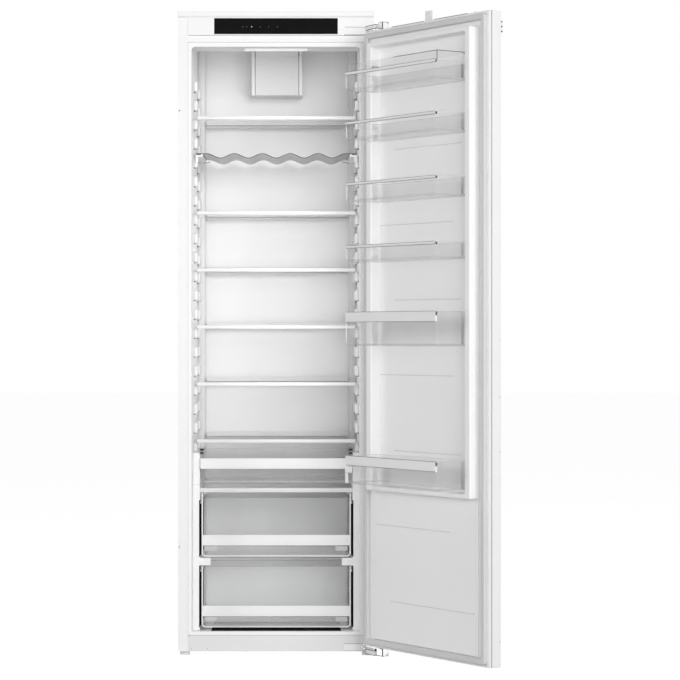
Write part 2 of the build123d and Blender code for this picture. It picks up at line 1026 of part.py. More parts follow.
def evaporating_pan():
    low = pan_low()
    x = (compressor_x - pan_width / 2, compressor_x + pan_width / 2)
    back = drain_y + drain_radius + pan_wall + pan_wall
    y = (back - pan_depth, back)
    pan = block(x, y, (low, low + pan_height))
    inside = block(
        (x[0] + pan_wall, x[1] - pan_wall),
        (y[0] + pan_wall, y[1] - pan_wall),
        (low + pan_wall, low + pan_height + overrun),
    )
    return pan - inside


def drain_tube():
    low = pan_low() + pan_height - drain_dip
    tube = rod((drain_x, drain_y, low), (drain_x, drain_y, hump_top), drain_radius)
    return tube - rod(
        (drain_x, drain_y, low - overrun), (drain_x, drain_y, hump_top + overrun), drain_bore
    )


def mains_inlet():
    x = (inlet_x - inlet_width / 2, inlet_x + inlet_width / 2)
    y = (shell_depth - inlet_depth, shell_depth)
    z = (machine_top - inlet_height, machine_top)
    box = block(x, y, z)
    recess = block(
        (x[0] + inlet_wall, x[1] - inlet_wall),
        (y[0] + inlet_wall, y[1] + overrun),
        (z[0] + inlet_wall, z[1] - inlet_wall),
    )
    blade_y = (y[0] + inlet_wall, y[1] - inlet_wall - inlet_wall)
    blades = []
    for share in (-1, 0, 1):
        middle = inlet_x + share * inlet_width / 4
        blade_x = (middle - inlet_wall / 4, middle + inlet_wall / 4)
        blade_z = (z[0] + inlet_height / 3, z[1] - inlet_height / 3)
        blades.append(block(blade_x, blade_y, blade_z))
    return joined([box - recess] + blades)


def evaporator_plate():
    face = cavity_back + liner_wall
    return block(
        either_way(evaporator_width / 2),
        (face, face + evaporator_thickness),
        (evaporator_top - evaporator_height, evaporator_top),
    )


def condenser():
    """A tube that runs to and fro across the back, with upright wires behind it."""
    y = back_panel_face + coil_gap
    pitch = (coil_top - coil_bottom) / (coil_rows - 1)
    points = []
    for row in range(coil_rows):
        height = coil_bottom + row * pitch
        ends = [(-coil_half_width, y, height), (coil_half_width, y, height)]
        points += ends if row % 2 == 0 else ends[::-1]
    path = FilletPolyline(*points, radius=coil_bend)
    section = Plane(origin=path @ 0, z_dir=path % 0) * Circle(coil_radius)
    tube = sweep(section, path=path)
    half_count = int(coil_half_width / wire_pitch)
    wire_y = y + coil_radius + wire_radius
    wires = [
        rod((index * wire_pitch, wire_y, coil_bottom), (index * wire_pitch, wire_y, coil_top), wire_radius)
        for index in range(-half_count, half_count + 1)
    ]
    clips = mirrored(
        block(
            (coil_half_width / 2, coil_half_width / 2 + clip_width),
            (back_panel_face, y - coil_radius),
            (coil_top - clip_width, coil_top + coil_radius),
        )
    )
    return [tube] + wires + clips


# Feet and rollers

def foot(x):
    pad = rod((x, foot_y, 0), (x, foot_y, foot_height), foot_radius)
    return pad + rod((x, foot_y, foot_height), (x, foot_y, spindle_top), spindle_radius)


def rear_rollers():
    """Two wheels on one axle."""
    wheel = rod(
        (roller_x - roller_width / 2, roller_y, roller_radius),
        (roller_x + roller_width / 2, roller_y, roller_radius),
        roller_radius,
    )
    axle = rod((-roller_x, roller_y, roller_radius), (roller_x, roller_y, roller_radius), roller_axle_radius)
    return joined([axle] + mirrored(wheel))


def foot_and_roller_mounts():
    mounts = []
    for x in foot_places():
        socket = rod((x, foot_y, tray_top), (x, foot_y, spindle_top + socket_cap), socket_radius)
        bore = spindle_radius + bearing_gap
        mounts.append(
            socket - rod((x, foot_y, tray_top - overrun), (x, foot_y, spindle_top + seat_gap), bore)
        )
    ear = block(
        (bracket_x - bracket_ear_thickness / 2, bracket_x + bracket_ear_thickness / 2),
        (roller_y - bracket_ear_width / 2, roller_y + bracket_ear_width / 2),
        (tray_top, roller_radius + bracket_ear_rise),
    )
    bore = rod(
        (bracket_x - overrun, roller_y, roller_radius),
        (bracket_x + overrun, roller_y, roller_radius),
        roller_axle_radius + bearing_gap,
    )
    return mounts + mirrored(ear - bore)


# Hinges, on the cabinet's side

def arm_levels():
    """The height of each arm, and of each cabinet plate, above and below the door."""
    top_arm = door_top + eye_height + arm_gap
    low_arm = door_bottom - eye_height - arm_gap - arm_thickness
    top_plate = door_top + cabinet_plate_lift
    low_plate = tray_top
    return [
        (top_arm, top_plate, -fascia_proud),
        (low_arm, low_plate, 0),
    ]


def cabinet_plate_span():
    end = half_width - cabinet_plate_inset
    return (end - cabinet_plate_length, end)


def hinge_arm(low, plate_low, face):
    """A plate on the frame and an arm from it to the pin."""
    plate_face = (face - hinge_plate_thickness, face)
    plate = block(cabinet_plate_span(), plate_face, (plate_low, plate_low + cabinet_plate_height))
    start = Vector(half_width - arm_root_inset, face - hinge_plate_thickness / 2, low)
    end = Vector(pivot_x, pivot_y, low)
    run = end - start
    side = Vector(-run.Y, run.X, 0).normalized() * (arm_width / 2)
    corners = [start - side, end - side, end + side, start + side]
    bar = extrude(make_face(Polyline(*corners, close=True)), amount=arm_thickness, dir=(0, 0, 1))
    bar -= block((0, half_width), (face, face + arm_width), (low - overrun, low + arm_thickness + overrun))
    boss = rod((pivot_x, pivot_y, low), (pivot_x, pivot_y, low + arm_thickness), eye_radius)
    hole = rod(
        (pivot_x, pivot_y, low - overrun), (pivot_x, pivot_y, low + arm_thickness + overrun), pin_radius
    )
    return plate + bar + boss - hole


def hinge_arms():
    return [hinge_arm(*level) for level in arm_levels()]


def hinge_pins():
    (top_arm, _, _), (low_arm, _, _) = arm_levels()
    top_end = (pivot_x, pivot_y, top_arm + arm_thickness)
    top = rod((pivot_x, pivot_y, door_top + seat_gap), top_end, pin_radius)
    low = rod((pivot_x, pivot_y, low_arm), (pivot_x, pivot_y, door_bottom - seat_gap), pin_radius)
    return [top, low]


def cabinet_screws():
    """The heads of the screws that hold the hinge plates and the plinth."""
    screws = []
    plate_start, plate_end = cabinet_plate_span()
    for _, plate_low, face in arm_levels():
        middle = plate_low + cabinet_plate_height / 2
        front = face - hinge_plate_thickness
        for x in (plate_start + screw_edge, plate_end - 3 * screw_edge):
            screws.append(rod((x, front - screw_head_height, middle), (x, front, middle), screw_head_radius))
    middle = (tray_top + plinth_top) / 2
    for x in (-half_frame + screw_edge, -plate_start):
        screws.append(rod((x, -screw_head_height / 2, middle), (x, 0, middle), screw_head_radius / 2))
    return screws


# Door, closed

def door_skin():
    y = (door_outer_face, door_inner_face)
    z = (door_bottom, door_top)
    inside_x = either_way(half_door - door_sheet)
    inside = block(
        inside_x,
        (y[0] + door_sheet, y[1] + overrun),
        (z[0] + door_sheet, z[1] - door_sheet),
    )
    return block(either_way(half_door), y, z) - inside


def door_foam():
    return block(
        either_way(half_door - door_sheet),
        (door_outer_face + door_sheet, door_inner_face - door_liner_wall),
        (door_bottom + door_sheet, door_top - door_sheet),
    )


def door_liner():
    base = block(
        either_way(half_door - door_sheet),
        (door_inner_face - door_liner_wall, door_inner_face),
        (door_bottom + door_sheet, door_top - door_sheet),
    )
    y = (door_inner_face, dyke_face)
    ring = rounded_panel(either_way(dyke_outer), y, (dyke_bottom, dyke_top), dyke_corner)
    ring -= rounded_panel(
        either_way(dyke_inner),
        (y[0] - overrun, y[1] + overrun),
        (dyke_bottom + dyke_end_thickness, dyke_top - dyke_end_thickness),
        dyke_corner,
    )
    panel = block(
        either_way(dyke_outer - lower_panel_step),
        (door_inner_face, door_inner_face + lower_panel_rise),
        (cavity_floor + lower_panel_floor_gap, dyke_bottom),
    )
    liner = base + ring + panel
    for pin in hood_pins(bearing_gap):
        liner -= pin
    return liner


def door_gasket():
    x = half_door - gasket_outer_inset
    z = (door_bottom + gasket_outer_inset, door_top - gasket_outer_inset)
    y = (door_inner_face, -gasket_gap)
    ring = rounded_panel(either_way(x), y, z, gasket_corner)
    return ring - rounded_panel(
        either_way(x - gasket_width),
        (y[0] - overrun, y[1] + overrun),
        (z[0] + gasket_width, z[1] - gasket_width),
        gasket_corner / 2,
    )


def door_rack(index):
    """A clear bin with a lug at each end, which hangs between the dykes."""
    bottom = rack_bottoms[index]
    rim = rack_tops[index] - bar_heights[index]
    y = (door_inner_face + rack_back_gap, rack_front_face)
    rack = open_bin(rack_half, y, (bottom, rack_tops[index]), rack_wall, rack_corner)
    rack -= block(
        either_way(rack_half + overrun),
        (rack_front_face - bar_thickness, rack_front_face + overrun),
        (rim, rack_tops[index] + overrun),
    )
    rack -= block(
        either_way(rack_half + overrun),
        (door_inner_face - overrun, door_inner_face + rack_back_gap + rack_corner),
        (bottom + rack_back_rise, rack_tops[index] + overrun),
    )
    lug = block(
        (rack_half - rack_wall / 2, dyke_inner),
        (door_inner_face + rack_corner + rack_back_gap, door_inner_face + rack_corner + lug_depth),
        (bottom + lug_rise, bottom + lug_rise + lug_height),
    )
    return joined([rack] + mirrored(lug))


def door_rack_bars():
    bars = []
    for top, height in zip(rack_tops, bar_heights):
        y = (rack_front_face - bar_thickness, rack_front_face + bar_proud)
        bars.append(block(either_way(rack_half - bar_end_inset), y, (top - height, top)))
    return bars


# Hood over the top rack

def hood_axis_point():
    """The height and depth of the hood's pins."""
    return (door_inner_face + hood_back + hood_back, hood_top - hood_back)


def hood_pins(gap):
    """Pins at the hood's ends, or the sockets for them in the dykes."""
    y, z = hood_axis_point()
    return mirrored(rod((hood_half, y, z), (dyke_inner + hood_pin_depth + gap, y, z), hood_pin_radius + gap))


def dairy_cover():
    y = (door_inner_face + hood_back, rack_front_face - hood_inset)
    low = rack_tops[0] + seat_gap
    hood = block(either_way(hood_half), y, (low, hood_top))
    hood -= block(
        either_way(hood_half - hood_wall),
        (y[0] - overrun, y[1] - hood_wall),
        (low - overrun, hood_top - hood_wall),
    )
    pin_y, pin_z = hood_axis_point()
    hood -= block(
        either_way(hood_half + overrun),
        (y[0] - overrun, pin_y + hood_arm_length),
        (low - overrun, hood_top - hood_arm_drop),
    )
    return joined([hood] + hood_pins(0))


# Door's own hinge plates and the furniture panel's fixings

def door_bracket(face, away):
    """A plate on the door's edge with an eye round the pin; away is 1 above the door and -1 below."""
    x = (half_door - door_plate_length, half_door)
    y = (door_outer_face, door_outer_face + door_plate_width)
    plate_end = face + away * door_plate_thickness
    eye_end = face + away * eye_height
    plate = block(x, y, (min(face, plate_end), max(face, plate_end)))
    eye = rod((pivot_x, pivot_y, face), (pivot_x, pivot_y, eye_end), eye_radius)
    bore = rod(
        (pivot_x, pivot_y, face - away * overrun),
        (pivot_x, pivot_y, eye_end + away * overrun),
        pin_radius + bearing_gap,
    )
    return plate + eye - bore


def door_hinge_brackets():
    return [door_bracket(door_top, 1), door_bracket(door_bottom, -1)]


def furniture_fixings():
    """A rail with an upright tab on the door's top edge, a stud, side clips and edge screws."""
    low = door_top
    rail_y = (door_outer_face + rail_setback, door_outer_face + rail_setback + rail_depth)
    rail = block(either_way(rail_half_length), rail_y, (low, low + rail_thickness))
    tab_y = (rail_y[1] - tab_thickness, rail_y[1])
    tab = block(either_way(tab_half_width), tab_y, (low, low + tab_height))
    hole_z = low + tab_height - tab_hole_drop
    rail = rail + tab - rod((0, tab_y[0] - overrun, hole_z), (0, tab_y[1] + overrun, hole_z), tab_hole_radius)
    middle_y = (rail_y[0] + rail_y[1]) / 2
    stud_x = -rail_half_length - stud_gap - stud_radius
    stud = rod((stud_x, middle_y, low), (stud_x, middle_y, low + stud_height), stud_radius)
    clip_z = (low - clip_top_drop - clip_height, low - clip_top_drop)
    clip_y = (door_outer_face - clip_thickness, door_outer_face)
    clips = mirrored(block((half_door - clip_width, half_door), clip_y, clip_z))
    screw_y = door_outer_face + edge_screw_setback
    screws = []
    for share in edge_screw_shares:
        z = door_bottom + share * door_height
        screws.append(
            rod((-half_door - edge_screw_height, screw_y, z), (-half_door, screw_y, z), edge_screw_radius)
        )
    return [rail, stud] + clips + screws


# Writing the nodes

os.makedirs("parts", exist_ok=True)

cabinet_nodes = {
    "outer_shell": outer_shell(),
    "back_panel": back_panel(),
    "base_tray": base_tray(),
    "insulation_foam": insulation_foam(),
    "inner_liner": inner_liner(),
    "top_trim": top_trim(),
    "base_plinth": base_plinth(),
    "control_fascia": control_fascia(),
    "control_glass": control_glass(),
    "indicator_lights": indicator_lights(),
    "circuit_boards": circuit_boards(),
    "light_window": light_hole(),
    "fan_housing": fan_housing(),
    "fan_front_plate": fan_front_plate(),
    "fan_motor": fan_motor(),
    "fan_impeller": fan_impeller(),
    "shelf_trims": shelf_trims(),
    "bottle_rack": bottle_rack(),
    "bottle_rack_hangers": bottle_rack_hangers(),
    "crisper_cover_glass": shelf_pane(cover_top, cover_front, cover_back, cover_pane_drop),
    "drawer_runners": drawer_runners(),
    "chiller_tray": chiller_tray(),
    "chiller_handle": chiller_handle(),
    "crisper_upper_bin": crisper_bin(upper_bin_bottom, upper_bin_height, upper_bin_depth),
    "crisper_upper_frame": crisper_frame(upper_bin_bottom, upper_bin_height),
    "crisper_lower_bin": crisper_bin(lower_bin_bottom, lower_bin_height, lower_bin_depth),
    "crisper_lower_frame": crisper_frame(lower_bin_bottom, lower_bin_height),
    "compressor": compressor(),
    "evaporating_pan": evaporating_pan(),
    "drain_tube": drain_tube(),
    "mains_inlet": mains_inlet(),
    "evaporator_plate": evaporator_plate(),
    "condenser": condenser(),
    "foot_left": foot(foot_places()[0]),
    "foot_right": foot(foot_places()[1]),
    "rear_rollers": rear_rollers(),
    "foot_and_roller_mounts": foot_and_roller_mounts(),
    "hinge_arms": hinge_arms(),
    "hinge_pins": hinge_pins(),
    "cabinet_screws": cabinet_screws(),
}
for number, height in enumerate(shelf_heights, start=1):
    cabinet_nodes[f"shelf_glass_{number}"] = shelf_pane(height, shelf_front, shelf_back, pane_drop)

door_nodes = {
    "door_skin": door_skin(),
    "door_foam": door_foam(),
    "door_liner": door_liner(),
    "door_gasket": door_gasket(),
    "door_rack_bars": door_rack_bars(),
    "door_hinge_brackets": door_hinge_brackets(),
    "furniture_fixings": furniture_fixings(),
    "dairy_cover": dairy_cover(),
}
for index in range(len(rack_bottoms)):
    door_nodes[f"door_rack_{index + 1}"] = door_rack(index)

for name, shapes in cabinet_nodes.items():
    save(name, shapes)
for name, shapes in door_nodes.items():
    group = shapes if isinstance(shapes, list) else [shapes]
    save(name, [opened(shape) for shape in group])
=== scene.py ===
import json
import math

import bmesh
import bpy
from mathutils import Matrix, Vector


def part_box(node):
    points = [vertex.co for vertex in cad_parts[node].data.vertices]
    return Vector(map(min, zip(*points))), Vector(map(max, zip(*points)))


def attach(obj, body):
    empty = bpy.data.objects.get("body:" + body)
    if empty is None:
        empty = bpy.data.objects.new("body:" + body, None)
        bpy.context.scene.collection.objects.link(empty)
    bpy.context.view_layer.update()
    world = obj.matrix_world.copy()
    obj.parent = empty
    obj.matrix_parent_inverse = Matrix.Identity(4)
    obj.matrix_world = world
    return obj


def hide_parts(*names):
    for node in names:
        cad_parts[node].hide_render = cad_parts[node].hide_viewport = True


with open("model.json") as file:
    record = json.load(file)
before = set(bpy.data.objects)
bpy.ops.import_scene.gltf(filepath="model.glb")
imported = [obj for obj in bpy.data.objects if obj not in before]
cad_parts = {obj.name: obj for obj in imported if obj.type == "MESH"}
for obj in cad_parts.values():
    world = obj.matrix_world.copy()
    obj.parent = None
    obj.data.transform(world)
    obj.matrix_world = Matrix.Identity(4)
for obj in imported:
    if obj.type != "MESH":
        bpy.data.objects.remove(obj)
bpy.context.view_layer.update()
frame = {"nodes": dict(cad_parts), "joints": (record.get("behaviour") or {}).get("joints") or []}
mm = 0.001

# Where the door stands at rest, read from its joint
door_joint = next(joint for joint in frame["joints"] if joint["name"] == "door_swing")
open_angle = math.radians(-door_joint["range_deg"][0])
pivot = Vector((*door_joint["pos_m"][:2], 0))
swing = Matrix.Translation(pivot) @ Matrix.Rotation(open_angle, 4, "Z") @ Matrix.Translation(-pivot)
door_bodies = ("door", "dairy_hood")


# Boxes of the frame's nodes, in millimetres, as are all the shapes up to the stage

def box(node):
    """The low and high corner of a node."""
    low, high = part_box(node)
    return low / mm, high / mm


def closed_box(node):
    """The corners of a door node, as they are with the door closed."""
    back = swing.inverted()
    points = [back @ vertex.co for vertex in frame["nodes"][node].data.vertices]
    return [Vector([pick(point[axis] for point in points) for axis in range(3)]) / mm for pick in (min, max)]


def spans(corners):
    """The low and high limit along each axis."""
    return list(zip(*corners))


def sided(side, first, second):
    """A span of x on one side of the middle: side is -1 or 1."""
    return sorted((side * first, side * second))


def clamp(value, span):
    """The value, or the nearer limit where it is outside the span."""
    return max(span[0], min(span[1], value))


# Mesh helpers

def mark_new(bm, before, index):
    """Gives the faces made since then their material."""
    for face in set(bm.faces) - before:
        face.material_index = index


def round_edges(bm, edges, radius, segments):
    bmesh.ops.bevel(
        bm, geom=edges, offset=radius, segments=segments, profile=0.5, affect="EDGES", clamp_overlap=True
    )


def add_box(bm, x, y, z, radius=0.0, segments=3, index=0):
    """A box with round edges."""
    before = set(bm.faces)
    verts = bmesh.ops.create_cube(bm, size=1)["verts"]
    for vertex in verts:
        for axis, (low, high) in enumerate((x, y, z)):
            vertex.co[axis] = low if vertex.co[axis] < 0 else high
    if radius:
        round_edges(bm, list({edge for vertex in verts for edge in vertex.link_edges}), radius, segments)
    mark_new(bm, before, index)


def rounded_rectangle(x, y, radius, steps=5):
    """Points round a rectangle with round corners."""
    points = []
    centres = (
        (x[1] - radius, y[1] - radius),
        (x[0] + radius, y[1] - radius),
        (x[0] + radius, y[0] + radius),
        (x[1] - radius, y[0] + radius),
    )
    for quarter, (across, along) in enumerate(centres):
        for step in range(steps + 1):
            turn = math.radians(90 * (quarter + step / steps))
            points.append((across + radius * math.cos(turn), along + radius * math.sin(turn)))
    return points


def bridge(bm, first, last, index=0):
    """Quads between two rings of as many vertices."""
    for place in range(len(first)):
        after = (place + 1) % len(first)
        bm.faces.new((first[place], first[after], last[after], last[place])).material_index = index


def skin(bm, rings, indices=0, close_ends=True):
    """Quads between rings of as many points each, with one material or one for each step."""
    loops = [[bm.verts.new(point) for point in ring] for ring in rings]
    for number in range(len(loops) - 1):
        index = indices[number] if isinstance(indices, list) else indices
        bridge(bm, loops[number], loops[number + 1], index)
    if close_ends:
        bm.faces.new(loops[0][::-1])
        bm.faces.new(loops[-1])
    return loops


def arc(start, end, count):
    """Turns in radians, evenly spaced, both ends included."""
    return [math.radians(start + (end - start) * step / count) for step in range(count + 1)]


def shell(bm, seen_from, facing, sheet_thickness=1.5):
    """Gives an open skin a thickness behind the side that is seen."""
    bmesh.ops.recalc_face_normals(bm, faces=bm.faces[:])
    probe = min(bm.faces, key=lambda face: (face.calc_center_median() - seen_from).length)
    if probe.normal.dot(facing) < 0:
        bmesh.ops.reverse_faces(bm, faces=bm.faces[:])
    bmesh.ops.solidify(bm, geom=bm.faces[:], thickness=sheet_thickness)


def open_tray(bm, x, y, z, wall, corner, floor_radius, draft, floor_index=0):
    """A tray with round corners and a round floor edge. Its walls are 0, its floor edge 1 and its rim 2."""
    profile = []
    for turn in arc(0, 90, 4):
        drop = floor_radius * (1 - math.cos(turn))
        profile.append((draft + floor_radius * (1 - math.sin(turn)), z[0] + drop, 1))
    edge = wall * 0.35
    profile.append((0.0, z[1] - edge, 0))
    profile += [(edge, z[1], 2), (wall - edge, z[1], 2), (wall, z[1] - edge, 2)]
    for turn in arc(90, 0, 4):
        radius = floor_radius - wall
        drop = radius * (1 - math.cos(turn))
        profile.append((draft + wall + radius * (1 - math.sin(turn)), z[0] + wall + drop, 0))
    rings = []
    for inset, height, _ in profile:
        sides = [(low + inset, high - inset) for low, high in (x, y)]
        rings.append([(*point, height) for point in rounded_rectangle(*sides, max(corner - inset, wall))])
    before = set(bm.faces)
    skin(bm, rings, [index for _, _, index in profile[1:]])
    for face in set(bm.faces) - before:
        if len(face.verts) > 4:
            face.material_index = floor_index


def framed_ring(bm, x, z, corner, profile, close_ends=False, close_loop=False):
    """A profile led round an upright rectangle with round corners.

    Its points are (inset, depth), or (side inset, end inset, depth) where the two insets differ.
    """
    rings = []
    for point in profile:
        side_inset, end_inset, depth = point if len(point) == 3 else (point[0], *point)
        across = (x[0] + side_inset, x[1] - side_inset)
        upright = (z[0] + end_inset, z[1] - end_inset)
        radius = max(corner - side_inset, corner if side_inset > 3 * corner else 0.5)
        rings.append([(place, depth, height) for place, height in rounded_rectangle(across, upright, radius)])
    loops = skin(bm, rings, close_ends=close_ends)
    if close_loop:
        bridge(bm, loops[-1], loops[0])
    return loops


def prism(bm, outline, axis, span, index=0):
    """A flat outline carried along an axis: x, y or z."""
    place = "xyz".index(axis)
    before = set(bm.faces)
    skin(bm, [[(*point[:place], distance, *point[place:]) for point in outline] for distance in span])
    mark_new(bm, before, index)


def lathe(bm, centre, axis, profile, steps, index=0):
    """A closed profile of (radius, distance) points turned about an axis."""
    turn_to = Vector((0, 0, 1)).rotation_difference(Vector(axis)).to_matrix()
    rings = []
    for radius, distance in profile:
        ring = []
        for step in range(steps):
            turn = 2 * math.pi * step / steps
            point = Vector((radius * math.cos(turn), radius * math.sin(turn), distance))
            ring.append(Vector(centre) + turn_to @ point)
        rings.append(ring)
    skin(bm, rings, index)


def link_plate(bm, start, end, z, width, radius=0.6, index=0):
    """A flat bar with round ends between two upright pins."""
    first, last = Vector((*start, 0)), Vector((*end, 0))
    run = (last - first).normalized()
    side = Vector((-run.y, run.x, 0))
    rings = []
    for height, inset in ((z[0], radius), (z[0] + radius, 0), (z[1] - radius, 0), (z[1], radius)):
        reach = width / 2 - inset
        ring = []
        for centre, begin in ((last, -90), (first, 90)):
            for turn in arc(begin, begin + 180, 8):
                point = centre + run * (reach * math.cos(turn)) + side * (reach * math.sin(turn))
                ring.append((point.x, point.y, height))
        rings.append(ring)
    skin(bm, rings, index)


sharp_angle = math.radians(40)
looks = {}


def add_piece(name, build, body, slot, materials, *values, replaces=()):
    """Builds a piece and lets it ride on a body. The door's pieces are built with the door closed."""
    bm = bmesh.new()
    build(bm, *values)
    bm.transform(Matrix.Scale(mm, 4))
    if body in door_bodies:
        bm.transform(swing)
    bmesh.ops.recalc_face_normals(bm, faces=bm.faces[:])
    mesh = bpy.data.meshes.new(name)
    bm.to_mesh(mesh)
    bm.free()
    for face in mesh.polygons:
        face.use_smooth = True
    mesh.set_sharp_from_angle(angle=sharp_angle)
    for material in materials:
        mesh.materials.append(looks[material])
    piece = bpy.data.objects.new(name, mesh)
    bpy.context.scene.collection.objects.link(piece)
    piece.modifiers.new("normals", "WEIGHTED_NORMAL").keep_sharp = True
    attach(piece, body)
    if replaces:
        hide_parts(*replaces)


def dress(node, material, radius=0.0, segments=2):
    """Gives a frame node its material, and round edges where they show."""
    piece = frame["nodes"][node]
    for place in piece.material_slots:
        place.material = looks[material]
    if not radius:
        return
    weld = piece.modifiers.new("weld", "WELD")
    weld.merge_threshold = 0.01 * mm
    flat = piece.modifiers.new("flat", "DECIMATE")
    flat.decimate_type = "DISSOLVE"
    flat.angle_limit = math.radians(1)
    bevel = piece.modifiers.new("round", "BEVEL")
    bevel.width = radius * mm
    bevel.segments = segments
    bevel.limit_method = "ANGLE"
    bevel.angle_limit = sharp_angle
    piece.modifiers.new("normals", "WEIGHTED_NORMAL")


# Materials

def node_of(tree, kind, **sockets):
    node = tree.nodes.new(kind)
    for name, value in sockets.items():
        node.inputs[name.replace("_", " ")].default_value = value
    return node


def calculate(tree, operation, *values):
    """One step of arithmetic on outputs and numbers."""
    node = tree.nodes.new("ShaderNodeMath")
    node.operation = operation
    for socket, value in zip(node.inputs, values):
        if isinstance(value, bpy.types.NodeSocket):
            tree.links.new(value, socket)
        else:
            socket.default_value = value
    return node.outputs[0]


def seen_straight(tree):
    """1 for a ray from the camera, through something clear or off something glossy, else 0."""
    path = tree.nodes.new("ShaderNodeLightPath")
    seen = calculate(tree, "MAXIMUM", path.outputs["Is Camera Ray"], path.outputs["Is Transmission Ray"])
    return calculate(tree, "MAXIMUM", seen, path.outputs["Is Glossy Ray"])


def noise(tree, scale, detail, stretch):
    """Noise over the object's own coordinates, in metres."""
    place = tree.nodes.new("ShaderNodeTexCoord")
    mapping = tree.nodes.new("ShaderNodeMapping")
    mapping.inputs["Scale"].default_value = stretch
    tree.links.new(place.outputs["Object"], mapping.inputs["Vector"])
    texture = node_of(tree, "ShaderNodeTexNoise", Scale=scale, Detail=detail)
    tree.links.new(mapping.outputs["Vector"], texture.inputs["Vector"])
    return texture.outputs["Fac"]


def spread(tree, source, low, high):
    """Maps the noise's middle range on to low to high."""
    node = node_of(tree, "ShaderNodeMapRange", From_Min=0.3, From_Max=0.7, To_Min=low, To_Max=high)
    tree.links.new(source, node.inputs["Value"])
    return node.outputs["Result"]


def tinted(tree, colour, amount, scale, stretch):
    """The colour with a faint variation over the surface."""
    mix = tree.nodes.new("ShaderNodeMix")
    mix.data_type = "RGBA"
    tree.links.new(spread(tree, noise(tree, scale, 4.0, stretch), 0, 1), mix.inputs["Factor"])
    mix.inputs["A"].default_value = (*[channel * (1 - amount) for channel in colour], 1)
    mix.inputs["B"].default_value = (*[min(channel * (1 + amount), 1) for channel in colour], 1)
    return mix.outputs["Result"]


def rgb(colour):
    """The channels of a colour, where one number is a grey."""
    return (colour,) * 3 if isinstance(colour, float) else colour


def surface(name, colour, roughness, metallic=0.0, vary=0.015, vary_scale=9.0, grain=700.0, depth=0.05,
            rough_vary=0.04, stretch=(1, 1, 1), coat=0.0, specular=0.5):
    """An opaque finish with its own grain, sheen and slight unevenness."""
    made = looks[name] = bpy.data.materials.new(name)
    made.use_nodes = True
    tree = made.node_tree
    shader = tree.nodes["Principled BSDF"]
    shader.inputs["Metallic"].default_value = metallic
    shader.inputs["Coat Weight"].default_value = coat
    shader.inputs["Coat Roughness"].default_value = 0.12
    shader.inputs["Specular IOR Level"].default_value = specular
    tree.links.new(tinted(tree, rgb(colour), vary, vary_scale, stretch), shader.inputs["Base Color"])
    rough = spread(tree, noise(tree, grain / 12, 3.0, stretch), roughness - rough_vary, roughness + rough_vary)
    tree.links.new(rough, shader.inputs["Roughness"])
    bump = node_of(tree, "ShaderNodeBump", Strength=depth, Distance=0.2 * mm)
    tree.links.new(noise(tree, grain, 4.0, stretch), bump.inputs["Height"])
    tree.links.new(bump.outputs["Normal"], shader.inputs["Normal"])
    return tree, shader


def clear(name, colour, roughness, body, rim):
    """A see-through finish: body is how solid it looks straight on, and rim how solid at a grazing look."""
    shadow_cut = 0.85
    tree, shader = surface(name, colour, roughness, vary=0.04, grain=260.0, depth=0.004, rough_vary=0.02)
    facing = node_of(tree, "ShaderNodeLayerWeight", Blend=0.35)
    amount = node_of(tree, "ShaderNodeMapRange", To_Min=body, To_Max=rim)
    tree.links.new(facing.outputs["Facing"], amount.inputs["Value"])
    path = tree.nodes.new("ShaderNodeLightPath")
    passing = calculate(tree, "MULTIPLY_ADD", path.outputs["Is Shadow Ray"], -shadow_cut, 1.0)
    tree.links.new(calculate(tree, "MULTIPLY", amount.outputs["Result"], passing), shader.inputs["Alpha"])


def glowing(name, colour, strength):
    shader = surface(name, colour, 0.3, vary=0.01)[1]
    shader.inputs["Emission Color"].default_value = (*rgb(colour), 1)
    shader.inputs["Emission Strength"].default_value = strength


# White steel and plastics
surface("white_enamel", 0.89, 0.42, vary=0.006, grain=2600, depth=0.03, coat=0.1)
# The liner's side walls and ledges are a lighter and a darker copy of its white: painted light and painted shade.
for name, level in (("liner_satin", 0.92), ("side_wall_painted_light", 0.97), ("rib_painted_shade", 0.82)):
    surface(name, level, 0.33, vary=0.006, grain=2200, depth=0.03)
# The trims' white is a darker copy of the mouldings' white, to tone down the light on them: painted shade.
for name, level in (("white_moulding", 0.89), ("trim_painted_shade", 0.77)):
    surface(name, level, 0.36, vary=0.006, grain=1800, depth=0.04)
surface("fan_moulding", 0.85, 0.34, vary=0.01, grain=700, depth=0.05)
surface("pearl_bar", (0.76, 0.76, 0.765), 0.3, 0.35, vary=0.004, vary_scale=4, grain=2400, depth=0.02,
        rough_vary=0.01)
# The ridges' grey is a darker copy of the liner's white, standing for their shading: painted shade.
surface("emboss_painted_shade", 0.72, 0.4, vary=0.02)
surface("pale_fixing", 0.9, 0.45, vary=0.02, grain=1500)
surface("foot_plastic", 0.82, 0.5, vary=0.02)
# Metals
surface("zinc_sheet", (0.62, 0.63, 0.64), 0.38, 0.9, vary=0.12, vary_scale=60, grain=900)
surface("bright_zinc", (0.9, 0.9, 0.91), 0.2, 1.0, vary=0.03, vary_scale=80, grain=1500, stretch=(1, 1, 6))
surface("satin_plate", (0.8, 0.8, 0.805), 0.55, 0.12, vary_scale=40, grain=900, stretch=(1, 1, 14), depth=0.06,
        specular=0.3)
surface("rack_steel", (0.46, 0.465, 0.47), 0.34, 0.6, vary=0.06, vary_scale=60, grain=900, stretch=(1, 12, 1))
surface("hem_dark", (0.08, 0.081, 0.083), 0.45, 0.3, vary=0.05)
surface("mill_aluminium", (0.75, 0.76, 0.77), 0.35, 1.0, vary=0.05, stretch=(1, 1, 9))
surface("oiled_steel", (0.05, 0.05, 0.052), 0.42, 0.6, vary=0.15, vary_scale=120, grain=1500)
surface("black_enamel", (0.03, 0.03, 0.032), 0.38, vary=0.2, vary_scale=30, grain=500, coat=0.3)
surface("dipped_black", (0.02, 0.02, 0.022), 0.42, vary=0.25, vary_scale=90, grain=900, depth=0.2)
